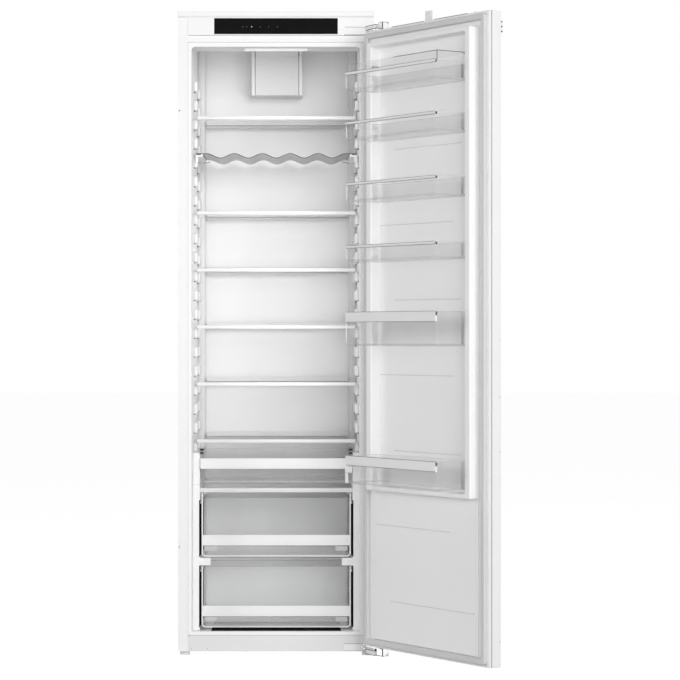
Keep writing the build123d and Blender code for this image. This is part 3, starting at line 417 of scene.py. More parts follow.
# Grey and dark plastics, rubber, foam, boards and gaps
surface("grey_moulding", (0.4, 0.41, 0.42), 0.45, vary=0.05)
surface("black_moulding", (0.02, 0.02, 0.022), 0.55, vary=0.1)
surface("seal_rubber", (0.66, 0.66, 0.665), 0.55, vary=0.02, grain=1400, depth=0.12)
surface("rigid_foam", (0.85, 0.79, 0.58), 0.8, vary=0.06, grain=1200, depth=0.4)
surface("solder_mask", (0.05, 0.22, 0.1), 0.4, vary=0.2, vary_scale=300, grain=900)
# Black for the chiller's clips and for the painted shadow in the crisper gaps.
surface("gap_black", 0.006, 0.9, vary=0.1, specular=0.1)
surface("hinge_gap", (0.03, 0.03, 0.031), 0.6, vary=0.1, specular=0.3)
surface("seam_grey", 0.34, 0.7, vary=0.04)
surface("line_grey", 0.2, 0.6, vary=0.04)
# Glass, clear plastics and lights
surface("panel_glass", (0.005, 0.005, 0.0055), 0.1, vary=0.05, grain=300, depth=0.0, specular=0.06)
clear("shelf_glass", (0.94, 0.95, 0.945), 0.04, 0.03, 0.1)
clear("smoke_plastic", (0.92, 0.925, 0.93), 0.12, 0.17, 0.28)
clear("chiller_smoke", (0.58, 0.585, 0.59), 0.12, 0.14, 0.26)
clear("tab_plastic", 0.86, 0.2, 0.35, 0.5)
clear("bin_edge", 0.8, 0.2, 0.4, 0.7)
clear("bin_rim", (0.3, 0.3, 0.31), 0.15, 0.5, 0.8)
clear("clear_rack", (0.92, 0.925, 0.93), 0.06, 0.01, 0.1)
clear("frosted_rack", (0.72, 0.725, 0.73), 0.16, 0.05, 0.2)
clear("rack_edge", (0.5, 0.5, 0.51), 0.1, 0.2, 0.45)
# The racks' floors are a darker copy of their clear plastic, standing for the shade at their bottoms: painted shade.
clear("rack_floor_painted_shade", (0.72, 0.725, 0.73), 0.14, 0.05, 0.15)
clear("hood_clear", (0.9, 0.905, 0.91), 0.05, 0.01, 0.09)
clear("hood_line", (0.1, 0.1, 0.105), 0.2, 0.85, 0.9)
glowing("lit_lens", 0.5, 1.0)
glowing("dot_faint", 0.1, 0.05)
glowing("dot_bright", (0.95, 0.97, 1.0), 0.9)


# Cabinet

cavity_half = box("drawer_runners")[1].x
cavity_floor = box("drawer_runners")[0].z
cavity_back = box("fan_housing")[1].y
cavity_ceiling = box("fan_housing")[1].z
lip_height = box("light_window")[0].z
lip_back = box("light_window")[1].y + 12
hump_top = box("drain_tube")[1].z
hump_front = box("crisper_lower_bin")[1].y + 8
wall_radius = 9
mouth_radius = 3
threshold_height = cavity_floor + 7.2
threshold_depth = 13
cover_low = box("shelf_trims")[0].z
dyke_bottom = cover_low + 20.6
probe_height = 1000


def wide_ring(points, outset, depth):
    """The mouth's points, moved outwards from the middle and set at a depth."""
    half = cavity_half - wall_radius
    upright = (threshold_height + wall_radius, lip_height - wall_radius)
    ring = []
    for point in points:
        near = Vector((clamp(point.x, (-half, half)), 0, clamp(point.z, upright)))
        away = (Vector((point.x, 0, point.z)) - near).normalized()
        ring.append(Vector((point.x, depth, point.z)) + away * outset)
    return ring


def liner_mouth(bm):
    """Rounds the cavity's mouth over into the front flange."""
    rim = [edge for edge in bm.edges if edge.is_boundary]
    loop = [rim[0].verts[0], rim[0].verts[1]]
    left = set(rim[1:])
    while left:
        following = next(edge for edge in left if loop[-1] in edge.verts)
        left.remove(following)
        loop.append(following.other_vert(loop[-1]))
    previous = loop[:-1]
    places = [vertex.co.copy() for vertex in previous]
    rings = []
    for turn in arc(0, 90, 4)[1:]:
        rings.append(wide_ring(places, mouth_radius * (1 - math.cos(turn)), mouth_radius * (1 - math.sin(turn))))
    low, high = box("inner_liner")
    top = box("control_fascia")[0].z
    seam, past_flange = 0.35, 1000
    for inset, depth in ((seam + 0.5, 0.0), (seam + 0.15, 0.15), (seam, 0.5), (seam, 2)):
        x, z = (low.x + inset, high.x - inset), (low.z + inset, top - inset)
        far = wide_ring(places, past_flange, 0.0)
        rings.append([(clamp(point.x, x), depth, clamp(point.z, z)) for point in far])
    for points in rings:
        ring = [bm.verts.new(point) for point in points]
        bridge(bm, previous, ring)
        previous = ring
    bmesh.ops.remove_doubles(bm, verts=bm.verts[:], dist=0.01)


def lies_on(edge, corner):
    """Whether an edge runs across the cabinet at a corner's depth and height."""
    return all(abs(vertex.co.y - corner[0]) + abs(vertex.co.z - corner[1]) < 0.1 for vertex in edge.verts)


def build_liner(bm):
    """The vacuum-formed inside of the cabinet, with its front flange."""
    hump_corner, lip_corner = (hump_front, hump_top), (lip_back, lip_height)
    outline = [
        (mouth_radius, threshold_height), (threshold_depth, threshold_height), (threshold_depth + 4, cavity_floor),
        (hump_front, cavity_floor), hump_corner, (cavity_back, hump_top), (cavity_back, cavity_ceiling),
        (lip_back, cavity_ceiling), lip_corner, (mouth_radius, lip_height),
    ]
    prism(bm, outline, "x", (-cavity_half, cavity_half))
    inside = []
    for edge in bm.edges:
        near = any(
            vertex.co.y < 2 * threshold_depth and vertex.co.z < 2 * threshold_height for vertex in edge.verts
        )
        outward = lies_on(edge, hump_corner) or lies_on(edge, lip_corner)
        if any(vertex.co.y > 2 * mouth_radius for vertex in edge.verts) and not near and not outward:
            inside.append(edge)
    round_edges(bm, inside, wall_radius, 4)
    for corner in (hump_corner, lip_corner):
        round_edges(bm, [edge for edge in bm.edges if lies_on(edge, corner)], 3, 3)
    front = [face for face in bm.faces if all(vertex.co.y < 1.01 * mouth_radius for vertex in face.verts)]
    bmesh.ops.delete(bm, geom=front, context="FACES")
    liner_mouth(bm)
    # The side walls take the lighter copy of the liner's white: painted light.
    for face in bm.faces:
        middle = face.calc_center_median()
        if abs(middle.x) > cavity_half - 1 and middle.y > mouth_radius:
            face.material_index = 1
    shell(bm, Vector((0, cavity_back, probe_height)), Vector((0, -1, 0)))


def build_ribs(bm):
    """Ledges in two rows on each side wall, spaced from the glass shelves, with a grey tick of painted shadow under
    each, and the two rear corner columns.
    """
    reach, height, length = 11, 30, 28
    count, over_first, first_to_last = 20, 2, 17
    first, last = box("shelf_glass_1")[0], box("shelf_glass_6")[0]
    pitch = (first.z - last.z) / first_to_last
    for side in (-1, 1):
        walls = sided(side, cavity_half + 0.5, cavity_half - reach)
        # The span of the grey tick of painted shadow under each ledge.
        slot = sided(side, cavity_half + 0.5, cavity_half - 4.5)
        for start in (first.y + 13, cavity_back - 80):
            for number in range(count):
                top = first.z + (over_first - number) * pitch
                low = top - height
                add_box(bm, walls, (start, start + length), (low, top), 5, 4)
                # A grey box just under each ledge stands for the shade beneath it: painted shadow.
                add_box(bm, slot, (start + 5, start + 19), (low - 1.6, low + 1.4), 0.8, 2, 1)
        column = sided(side, cavity_half + 1, cavity_half - 24)
        low = box("crisper_cover_glass")[0].z
        add_box(bm, column, (cavity_back - 30, cavity_back + 1), (low, cavity_ceiling + 1), 8)


add_piece("liner_moulding", build_liner, "cabinet", "liner_plastic", ["liner_satin", "side_wall_painted_light"],
          replaces=["inner_liner"])
add_piece("liner_ribs", build_ribs, "cabinet", "liner_plastic", ["rib_painted_shade", "line_grey"])

dress("outer_shell", "white_enamel", 0.45)
dress("back_panel", "zinc_sheet")
dress("base_tray", "zinc_sheet", 0.4)
dress("insulation_foam", "rigid_foam")
dress("base_plinth", "trim_painted_shade", 0.8)
dress("control_glass", "panel_glass", 0.5)
dress("circuit_boards", "solder_mask", 0.2)
dress("fan_housing", "fan_moulding", 1.2, 3)
dress("fan_motor", "black_enamel")
dress("fan_impeller", "black_moulding")
dress("evaporator_plate", "mill_aluminium")


def build_top_trim(bm):
    """The strip along the cabinet's top edge, with a slanted lower lip."""
    x, y, z = spans(box("top_trim"))
    outline = [
        (y[1], z[1]), (y[0] + 1.2, z[1]), (y[0] + 0.3, z[1] - 0.4), (y[0], z[1] - 1.4), (y[0], z[0] + 4.6),
        (y[0] + 0.4, z[0] + 3.8), (y[0] + 3.4, z[0] + 0.6), (y[0] + 4.2, z[0]), (y[1], z[0]),
    ]
    prism(bm, outline, "x", x)


def build_fascia(bm):
    """The panel round the control glass, in two strips with a fine line between them."""
    x, y, z = spans(box("control_fascia"))
    line = box("control_glass")[0].z - 3
    add_box(bm, (x[0], x[1] + 4.2), y, (line + 0.35, z[1]), 0.5, 2)
    add_box(bm, x, (0.0, y[1]), (z[0] + 0.3, line - 0.35), 0.3, 2)


def build_duct_face(bm):
    """The plain face of the housing above the fan's plate."""
    z = (box("fan_front_plate")[1].z - 1, cavity_ceiling - 0.5)
    add_box(bm, (-62, 62), (cavity_back - 90.5, cavity_back - 86), z, 0.4, 1)


def build_seams(bm):
    """Grey backing that shows in the fine gaps of the front frame."""
    low, high = box("inner_liner")
    y = (1.2, 2.2)
    for side in (low.x, high.x):
        add_box(bm, (side - 1.2, side + 1.2), y, (low.z, box("top_trim")[0].z), 0.2, 1)
    add_box(bm, (low.x, high.x), y, (low.z - 1.0, low.z + 0.8), 0.2, 1)


def build_fan_plate(bm):
    """The fan's front plate, slightly crowned and rolled in at its ends."""
    x, y, z = spans(box("fan_front_plate"))
    insets = {0.0: 1.4, 0.012: 0.5, 0.985: 0.5, 1.0: 1.4}
    rings = []
    for share in (0.0, 0.012, 0.04, 0.12, 0.3, 0.5, 0.7, 0.86, 0.95, 0.985, 1.0):
        inset = insets.get(share, 0)
        depth = (y[0] + 1.5 * (2 * share - 1) ** 2 + inset, y[1])
        level = z[0] + share * (z[1] - z[0])
        rings.append([(*point, level) for point in rounded_rectangle((x[0] + inset, x[1] - inset), depth, 0.9, 3)])
    skin(bm, rings)


def build_lens(bm):
    """The lamp's lens, a little proud of the lip."""
    x, y, z = spans(box("light_window"))
    add_box(bm, x, y, (z[0] - 0.6, z[1]), 1.2)


def build_dots(bm):
    """Small plain dots behind the control glass, one of them lit."""
    low, high = box("indicator_lights")
    radius = (high.z - low.z) / 2
    lit_share = 0.254
    for share in (0.0, 0.114, lit_share, 0.5, 0.743, 1.0):
        lit = share == lit_share
        size = radius if lit else radius * 0.75
        across = low.x + radius + share * (high.x - low.x - 2 * radius)
        lathe(bm, (across, high.y, (low.z + high.z) / 2), (0, -1, 0), [(size, 0), (size, 0.2), (size * 0.8, 0.3)],
              20, int(lit))


add_piece("upper_trim", build_top_trim, "cabinet", "white_plastic", ["white_moulding"], replaces=["top_trim"])
add_piece("fascia_panel", build_fascia, "cabinet", "white_plastic", ["white_moulding"],
          replaces=["control_fascia"])
add_piece("fan_duct_face", build_duct_face, "cabinet", "fan_plastic", ["fan_moulding"])
add_piece("frame_seams", build_seams, "cabinet", "grey_plastic", ["seam_grey"])
add_piece("fan_plate", build_fan_plate, "cabinet", "fan_plate_metal", ["satin_plate"],
          replaces=["fan_front_plate"])
add_piece("lamp_lens", build_lens, "cabinet", "lamp_window", ["lit_lens"], replaces=["light_window"])
add_piece("display_dots", build_dots, "cabinet", "indicator", ["dot_faint", "dot_bright"],
          replaces=["indicator_lights"])

# Shelves and the bottle rack

for number in range(1, 7):
    dress(f"shelf_glass_{number}", "shelf_glass", 0.6)
dress("crisper_cover_glass", "shelf_glass", 0.6)
dress("shelf_trims", "trim_painted_shade", 1.6, 3)
dress("bottle_rack_hangers", "white_moulding", 1.0)
dress("drawer_runners", "liner_satin", 1.5)


def build_slivers(bm, pairs, base, y):
    """Thin slanted strips at both sides, between points given as x and a height over the base."""
    half_width = 0.8
    for side in (-1, 1):
        for pair in pairs:
            first, last = (Vector((side * across, base + rise)) for across, rise in pair)
            along = (last - first).normalized()
            out = Vector((-along.y, along.x)) * half_width
            prism(bm, [first + out, last + out, last - out, first - out], "y", y)


def build_bottle_rack(bm):
    """The corrugated bottle rack with a thin rolled hem at its front."""
    x, y, z = spans(box("bottle_rack"))
    sheet, half, waves, steps = 1.4, 195.5, 5, 180
    crest = z[1] - sheet

    def height_at(across):
        turn = math.pi * waves * (across + half) / half
        return crest if abs(across) >= half else crest - (crest - z[0]) * (1 - math.cos(turn)) / 2

    edge = (
        (y[0] + 0.3, -0.3), (y[0], 0), (y[0], 1), (y[0] + 0.3, 1.3), (y[0] + 3, 1.3), (y[0] + 3.2, 1), (y[1], 1),
        (y[1], 0), (y[0] + 3.2, 0), (y[0] + 3, -0.3),
    )
    rings = []
    for step in range(steps + 1):
        across = x[0] + (x[1] - x[0]) * step / steps
        low = Vector((across, 0, height_at(across)))
        lean = math.atan((height_at(across + 0.5) - height_at(across)) / 0.5)
        lift = Vector((-math.sin(lean), 0, math.cos(lean))) * sheet
        ring = []
        for depth, share in edge:
            point = low + lift * share
            ring.append((clamp(point.x, x), depth, point.z))
        rings.append(ring)
    skin(bm, rings)
    for face in bm.faces:
        if len(face.verts) == 4 and face.calc_center_median().y < y[0] + 0.4:
            face.material_index = 1


def build_rack_hooks(bm):
    """The dark ends of the bottle rack's rails, and the small braces beside them."""
    x, y, z = spans(box("bottle_rack_hangers"))
    for side in (-1, 1):
        add_box(bm, sided(side, x[1] - 2, x[1] - 15), (y[0] - 0.8, y[0] + 3), (z[1] - 3.2, z[1] - 0.6), 0.6, 2)
    braces = (((205, 1389), (196, 1376.5)), ((205, 1364), (184, 1367.5)))
    build_slivers(bm, braces, 0, (y[0] - 0.6, y[0] + 0.6))


add_piece("wave_sheet", build_bottle_rack, "cabinet", "rack_metal", ["rack_steel", "hem_dark"],
          replaces=["bottle_rack"])
add_piece("rack_hooks", build_rack_hooks, "cabinet", "rack_metal", ["hem_dark"])


# Drawers

def build_bin(bm, node, floor_radius, rim_reach):
    """A drawer's clear bin with its sliding rims."""
    x, y, z = spans(box(node))
    half = x[1] - rim_reach
    wall, corner, draft = 2.5, 12, 2
    open_tray(bm, (-half, half), y, z, wall, corner, floor_radius, draft)
    if node != "crisper_lower_bin":
        for face in bm.faces:
            face.material_index = face.material_index % 2
    rim_low = z[1] - 12
    for side in (-1, 1):
        add_box(bm, sided(side, half - 1, x[1]), (y[0] + 14, y[1] - 9), (rim_low, rim_low + 2.7), 0.7, 2)


def build_front(bm, crisper, post_top):
    """A crisper's white front: an upright loop open at its top, a strip across it and a tab at each end below."""
    x, y, _ = spans(box(f"{crisper}_frame"))
    low = box(f"{crisper}_bin")[0].z - 0.4
    half = x[1] + 1.6
    width, edge = 3.6, 0.7
    profile = [(0, y[1]), (0, y[0] + edge), (edge, y[0]), (width - edge, y[0]), (width, y[0] + edge), (width, y[1])]
    framed_ring(bm, (-half, half), (low, post_top + 60), 11, profile, close_loop=True)
    everything = bm.verts[:] + bm.edges[:] + bm.faces[:]
    cut = bmesh.ops.bisect_plane(bm, geom=everything, plane_co=(0, 0, post_top), plane_no=(0, 0, 1), clear_outer=True)
    bmesh.ops.holes_fill(bm, edges=[item for item in cut["geom_cut"] if isinstance(item, bmesh.types.BMEdge)])
    strip = (low + 31.4, low + 60.9)
    add_box(bm, (-half + 1, half - 1), (y[0] - 0.4, y[0] + 2.6), strip, 1.0, 3)
    for side in (-1, 1):
        tab = (strip[0] - 14.5, strip[0] - 2)
        add_box(bm, sided(side, half - 9.5, half - 43), (y[0] + 0.4, y[0] + 2.4), tab, 0.8, 2, 1)


for body, post_top in (("crisper_upper", cover_low - 2.4), ("crisper_lower", box("crisper_lower_bin")[1].z)):
    add_piece(f"{body}_shell", build_bin, body, "drawer_plastic", ["smoke_plastic", "bin_edge", "bin_rim"],
              f"{body}_bin", 7, 8.5, replaces=[f"{body}_bin"])
    add_piece(f"{body}_front", build_front, body, "white_plastic", ["white_moulding", "tab_plastic"], body, post_top,
              replaces=[f"{body}_frame"])
add_piece("chiller_shell", build_bin, "chiller_drawer", "drawer_plastic", ["chiller_smoke", "bin_edge", "bin_rim"],
          "chiller_tray", 9, 10, replaces=["chiller_tray"])
dress("chiller_handle", "white_moulding", 0.9, 3)


def build_rail_fillers(bm):
    """The side mouldings between the crisper carriers and the chiller's rails."""
    low = box("crisper_cover_glass")[0].z
    x, y, _ = spans(box("drawer_runners"))
    for side in (-1, 1):
        across = sided(side, x[1] + 0.3, x[1] - 18.3)
        add_box(bm, across, (y[0] + 0.3, y[1] - 20), (low - 1, dyke_bottom + 1), 1.5, 2)


def build_chiller_clips(bm):
    """Two small dark clips, one above the other, at each front corner of the chiller drawer."""
    _, y, z = spans(box("chiller_tray"))
    for side in (-1, 1):
        for low, high in ((z[1] - 6.5, z[1] - 1.5), (z[1] - 15.5, z[1] - 11)):
            add_box(bm, sided(side, 203.5, 213.5), (y[0] - 2.4, y[0] + 0.4), (low, high), 1, 2)


def build_gap_shade(bm):
    """Black boxes beside the crispers and on the floor under them, standing for the shadow in those gaps: painted
    shadow.
    """
    inner = cavity_half - 18.5
    front = box("drawer_runners")[0].y
    back = hump_front - 6
    for node, drop in (("crisper_upper_bin", 6), ("crisper_lower_bin", -1)):
        z = spans(box(node))[2]
        for side in (-1, 1):
            add_box(bm, sided(side, inner - 3.4, inner + 0.2), (front + 4, back), (z[0] + 4, z[1] - 18), 0.3, 1)
            add_box(bm, sided(side, inner - 1.2, inner + 2.2), (front - 0.6, front + 4), (z[0], z[1] - drop), 0.4, 2)
    add_box(bm, (-180, 180), (62, back), (cavity_floor - 0.2, cavity_floor + 1.2), 0.4, 1)


add_piece("rail_fillers", build_rail_fillers, "cabinet", "liner_plastic", ["liner_satin"])
add_piece("chiller_clips", build_chiller_clips, "chiller_drawer", "grey_plastic", ["gap_black"])
add_piece("rail_slivers", build_slivers, "cabinet", "grey_plastic", ["line_grey"], [((200, -14), (194.5, -5.5))],
          cover_low, (100.5, 102))
add_piece("chiller_slivers", build_slivers, "chiller_drawer", "grey_plastic", ["line_grey"],
          [((208, 24), (202, 36))], cover_low, (111.6, 113))
# Black boxes of painted shadow in the gaps round the crisper bins.
add_piece("drawer_gap_shade", build_gap_shade, "cabinet", "dark_plastic", ["gap_black"])

# Door

dress("door_foam", "rigid_foam")
door_x, door_y, door_z = spans(closed_box("door_liner"))
inner_face = door_y[1] - 30
panel_rise = 4
dyke_half = cavity_half - 4.5
dyke_inner = closed_box("door_rack_6")[1].x
dyke_width = (dyke_half - dyke_inner, 13)
dyke_z = (dyke_bottom, lip_height - 4)


def build_door_skin(bm):
    """The door's outer pan and inner frame, with a fine groove between them along the edge."""
    x, y, z = spans(closed_box("door_skin"))
    groove = (y[1] - 6.3, y[1] - 9.1)
    profile = [
        (6.0, y[1] - 0.2), (0.8, y[1] - 0.2), (0.2, y[1] - 0.5), (0, y[1] - 1.2), (0, groove[0] + 0.4),
        (0.3, groove[0]), (0.7, groove[0]), (0.7, groove[1]), (0.3, groove[1]), (0, groove[1] - 0.4),
        (0, y[0] + 1.4), (0.4, y[0] + 0.4), (1.4, y[0]),
    ]
    framed_ring(bm, x, z, 1.5, profile, close_ends=True)
    for face in bm.faces:
        if groove[1] - 0.1 < face.calc_center_median().y < groove[0] + 0.1 and len(face.verts) == 4:
            face.material_index = 1


def build_door_liner(bm):
    """The door's inner moulding: a raised ring and a lower panel."""
    radius, corner = 4, 6
    turns = arc(0, 90, 4)
    side = [(-radius + radius * math.sin(turn), inner_face + radius * (1 - math.cos(turn))) for turn in turns]
    side += [(radius * (1 - math.cos(turn)), door_y[1] - radius * (1 - math.sin(turn))) for turn in turns]
    profile = side + [(dyke_width[0] - inset, dyke_width[1] - inset, depth) for inset, depth in side[::-1]]
    profile.append((dyke_width[0] + 4, dyke_width[1] + 4, inner_face))
    loops = framed_ring(bm, (-dyke_half, dyke_half), dyke_z, corner, profile)
    bm.faces.new(loops[-1])
    rim = [bm.verts.new((across, inner_face, height)) for across, height in rounded_rectangle(door_x, door_z, 1)]
    bridge(bm, rim, loops[0])
    shell(bm, Vector((0, inner_face, probe_height)), Vector((0, 1, 0)))
    panel_half = dyke_half - 0.5
    add_box(bm, (-panel_half, panel_half), (inner_face - 1, inner_face + panel_rise),
            (cavity_floor + 1, dyke_z[0] + 2), 3.5, 3)


def build_embossing(bm):
    """Fine ridges pressed into the door's inner faces, darker than the liner as painted shade: each has its height,
    its start and its end.
    """
    edge = door_x[1] + 1
    upper = [(1379, 131, 423), (1177.5, 53, 391), (976, 131, 423), (776.5, 53, 391), (573.5, 131, 423)]
    lower = [(372, 53, 383), (169.5, 118, 484)]
    for lines, face in ((upper, inner_face), (lower, inner_face + panel_rise)):
        for height, start, end in lines:
            add_box(bm, (edge - end, edge - start), (face - 1, face + 0.9), (height - 1.3, height + 1.3), 0.9, 2)


def build_gasket(bm):
    """The magnetic seal: a bellows that stands on the door's edge."""
    x, y, z = spans(closed_box("door_gasket"))
    width = 16
    half = ((0, 0), (0, 2.6), (1.5, 3.8), (0.5, 5.2), (0, 8), (0.6, 10.2), (2.4, 11.7))
    profile = [(inset, y[0] + rise) for inset, rise in half]
    profile += [(width - inset, depth) for inset, depth in profile[::-1]]
    framed_ring(bm, x, z, 10, profile, close_loop=True)


add_piece("door_pan", build_door_skin, "door", "white_steel", ["white_enamel", "seam_grey"], replaces=["door_skin"])
add_piece("door_moulding", build_door_liner, "door", "liner_plastic", ["liner_satin"], replaces=["door_liner"])
add_piece("door_embossing", build_embossing, "door", "liner_plastic", ["emboss_painted_shade"])
add_piece("door_seal", build_gasket, "door", "gasket_rubber", ["seal_rubber"], replaces=["door_gasket"])

bars_x, bars_y, _ = spans(closed_box("door_rack_bars"))
rack_half = bars_x[1] + 3
rack_front = bars_y[1] - 1.2
bar_heights = (9, 8, 8, 8, 28, 27)


def build_rack(bm, number):
    """A clear door rack with a lug and an upright rib at each end."""
    _, y, z = spans(closed_box(f"door_rack_{number}"))
    z = (z[0], z[1] - 0.5)
    wall, corner, floor_radius, draft = 2.2, 12, 6, 1.5
    open_tray(bm, (-rack_half, rack_half), (y[0], rack_front), z, wall, corner, floor_radius, draft, 3)
    for side, index in ((-1, 0), (1, 4)):
        across = sided(side, rack_half - 1, dyke_inner + 0.5)
        add_box(bm, across, (y[0] + 9, y[0] + 25), (z[0] + 8, z[0] + 32), 2, 2, index)
    add_box(bm, (-rack_half - 0.7, -rack_half + 0.6), (door_y[1] + 0.8, door_y[1] + 8.4), (z[0] + 4, z[1] - 2),
            0.5, 2, 1)
    add_box(bm, (rack_half - 8, rack_half - 5), (rack_front - 0.6, rack_front + 0.5),
            (z[0] + 7, z[1] - bar_heights[number - 1] - 1), 0.4, 2, 4)


def build_bar(bm, number):
    """The light bar along a door rack's rim, with thin grey edges and a dark cap at its free end."""
    top = closed_box(f"door_rack_{number}")[1].z + (4.4 if number == 1 else 0)
    low = top - bar_heights[number - 1]
    line = 1.1
    x = (bars_x[0] + 2, bars_x[1] - 2)
    y = (rack_front - (2.6 if number == 1 else 4), bars_y[1])
    add_box(bm, x, y, (low + line, top - line), min(1.6, bar_heights[number - 1] / 5), 3)
    for start in (low, top - line):
        add_box(bm, x, (y[0], y[1] - 0.5), (start, start + line), 0.3, 1, 2)
    for side in (-1, 1):
        add_box(bm, sided(side, bars_x[1] - 2.5, bars_x[1]), (y[0], y[1] - 0.4), (low + 0.4, top - 0.4), 0.6, 2, 1)
    add_box(bm, (bars_x[0], bars_x[0] + 1.5), y, (max(low, top - 12), top - 1.5), 0.4, 1, 3)


def build_rack_brackets(bm):
    """The light clips at the ends of the two deep bars."""
    top = closed_box("door_rack_6")[1].z
    for reach, low, high in ((32, 46, 29), (14, 74, 47)):
        add_box(bm, (rack_half - reach, rack_half - 1), (rack_front - 1, rack_front + 0.8), (top - low, top - high),
                1.2, 2)


for number in range(1, 7):
    deep = number > 4
    add_piece(f"rack_shell_{number}", build_rack, "door", "clear_plastic",
              ["frosted_rack" if deep else "clear_rack", "rack_edge", "rack_edge", "rack_floor_painted_shade", "white_moulding"],
              number, replaces=[f"door_rack_{number}"])
    add_piece(f"rack_bar_{number}", build_bar, "door", "white_plastic",
              ["pearl_bar" if deep else "white_moulding", "white_moulding", "seam_grey", "oiled_steel"],
              number, replaces=["door_rack_bars"] if number == 1 else [])
add_piece("rack_end_clip", build_rack_brackets, "door", "white_plastic", ["white_moulding"])


def build_hood(bm):
    """The clear hood over the top rack, open below and behind, with dark lines along its free edges."""
    x, y, z = spans(closed_box("dairy_cover"))
    half = x[1] - 8.3
    wall, line = 2.2, 1.5
    add_box(bm, (-half, half), y, (z[1] - wall, z[1]), 0.7, 2)
    add_box(bm, (-half, half), (y[1] - wall, y[1]), z, 0.7, 2)
    for side in (-1, 1):
        across = sided(side, half, half - wall)
        add_box(bm, across, (y[0] + 20, y[1]), z, 0.7, 2)
        add_box(bm, across, (y[0], y[0] + 22), (z[1] - 12, z[1]), 0.7, 2)
        lathe(bm, (side * (half - 1), y[0] + 6, z[1] - 6), (side, 0, 0), [(3, 0), (3, 8.8), (2.6, 9.2)], 20)
    end, front, crown = (-half - 0.1, -half + line), (y[1] - line, y[1] + 0.1), (z[1] - line, z[1] + 0.1)
    for edge in (((end[0], -10), front, crown), (end, (y[0] + 8, y[1]), crown), (end, front, (z[0], z[1] - line))):
        add_box(bm, *edge, 0.3, 1, 1)


add_piece("hood_shell", build_hood, "dairy_hood", "clear_plastic", ["hood_clear", "hood_line"],
          replaces=["dairy_cover"])

# Hinges and screws

pin_spot = (pivot.x / mm, pivot.y / mm)
pins_low, pins_high = spans(box("hinge_pins"))[2]
forward = (0, -1, 0)


def build_cabinet_hinges(bm):
    """The white cover plates on the frame, and at each level the folded arm that reaches out to the pin."""
    arms_x, _, arms_z = spans(box("hinge_arms"))
    plate = (arms_x[0], arms_x[0] + 60.5)
    line = 1.0
    knob = [(1.3, 0), (1.3, 1.0), (0.9, 1.3)]
    for z, face in (((pins_high - 11, pins_high + 11), box("control_fascia")[0].y),
                    ((arms_z[0], arms_z[0] + 20.6), 0.0)):
        add_box(bm, plate, (face - 1.2, face + 0.4), (z[0] + line, z[1] - line), 0.5, 2, 2)
        # Grey strips along each plate's top and bottom edge: a fine gap, darkened as painted shadow.
        for low in (z[0], z[1] - line):
            add_box(bm, plate, (face - 0.7, face + 0.4), (low, low + line), 0.2, 1, 3)
        for height in (z[0] + line, z[1] - line):
            lathe(bm, (plate[0] - 0.6, face, height), forward, knob, 16, 1)
    root = (box("outer_shell")[1].x - 17, -9)
    rim = 1.5
    for bar, low, high in (((pins_high - 4, pins_high), pins_high + 0.4, pins_high + 12),
                           ((pins_low, pins_low + 4), pins_low - 19, pins_low - 5.4)):
        link_plate(bm, root, pin_spot, bar, 13.4)
        link_plate(bm, root, pin_spot, (low + rim, high - rim), 11, index=2)
        for edge in (low, high - rim):
            link_plate(bm, root, pin_spot, (edge, edge + rim), 12.6, 0.2, 1)
    for low, high in ((pins_high - 10, pins_high + 13), (pins_low - 18, pins_low + 10)):
        length = high - low
        lathe(bm, (*pin_spot, low), (0, 0, 1), [(2.2, 0), (2.8, 0.6), (2.8, length - 0.6), (2.2, length)], 24, 1)
    for across, rise in ((50, 11.5), (55.5, 19.1), (56.5, 8)):
        place = (arms_x[0] + across, 0, arms_z[0] + rise)
        lathe(bm, place, forward, [(2.6, 0), (2.6, 2.0), (1.8, 2.6)], 20, 1)


def hinge_channel(bm, away, face, outline):
    """A folded channel on the door: dark inside, with a bright plate on its front and on its end."""
    rear, margin = -28, 1.7
    core = [Vector((across, face + away * rise)) for across, rise in outline]
    prism(bm, core, "y", (-48, rear), 1)
    middle = sum(core, Vector((0, 0))) / len(core)
    bright = []
    for point in core:
        toward = middle - point
        bright.append(point + Vector((math.copysign(margin, toward.x), math.copysign(margin, toward.y))))
    prism(bm, bright, "y", (rear - 0.2, rear + 0.7))
    end = min(across for across, _ in outline)
    rises = [rise for _, rise in outline]
    base, crown = sorted((face + away * (min(rises) + 1.2), face + away * (max(rises) - 1.2)))
    return (end - 0.7, end + 0.2), base, crown


def build_door_hinges(bm):
    """The hinge plates on the door's top and bottom edge, with their folded channels."""
    x, y, _ = spans(closed_box("door_hinge_brackets"))
    bottom, top = spans(closed_box("door_skin"))[2]
    for away, face in ((1, top), (-1, bottom)):
        add_box(bm, (x[0], 269), (-50, y[1]), sorted((face, face + away * 3)), 0.6, 2)
        link_plate(bm, (258, pin_spot[1]), pin_spot, sorted((face + away * 0.1, face + away * 5.8)), 13.6)
    outline = [(241, 3.2), (241, 11.5), (233, 20), (224, 23), (213.6, 23), (213.6, 3.2)]
    span, base, crown = hinge_channel(bm, 1, top, outline)
    prism(bm, [(-47, base), (-29.2, base), (-29.2, crown), (-43, crown), (-47, crown - 4)], "x", span)
    outline = [(241, 3.2), (241, 24.5), (213.6, 24.5), (213.6, 3.2)]
    span, base, crown = hinge_channel(bm, -1, bottom, outline)
    prism(bm, [(-47, crown), (-29.2, crown), (-29.2, base), (-37.5, base), (-47, base + 9)], "x", span)
    prism(bm, [(-39.5, base), (-43.5, base), (-47, base + 3.5), (-47, base + 7)], "x", span)


def build_plinth_screws(bm):
    """Small screws in the lower panel and beside it."""
    for across, height, size, index in ((-239, 55.4, 1.5, 1), (-232.6, 20.8, 1.3, 0), (-188.6, 20.8, 1.3, 0)):
        lathe(bm, (across, 0.3, height), forward, [(size, 0), (size, 0.35), (0.7 * size, 0.45)], 20, index)


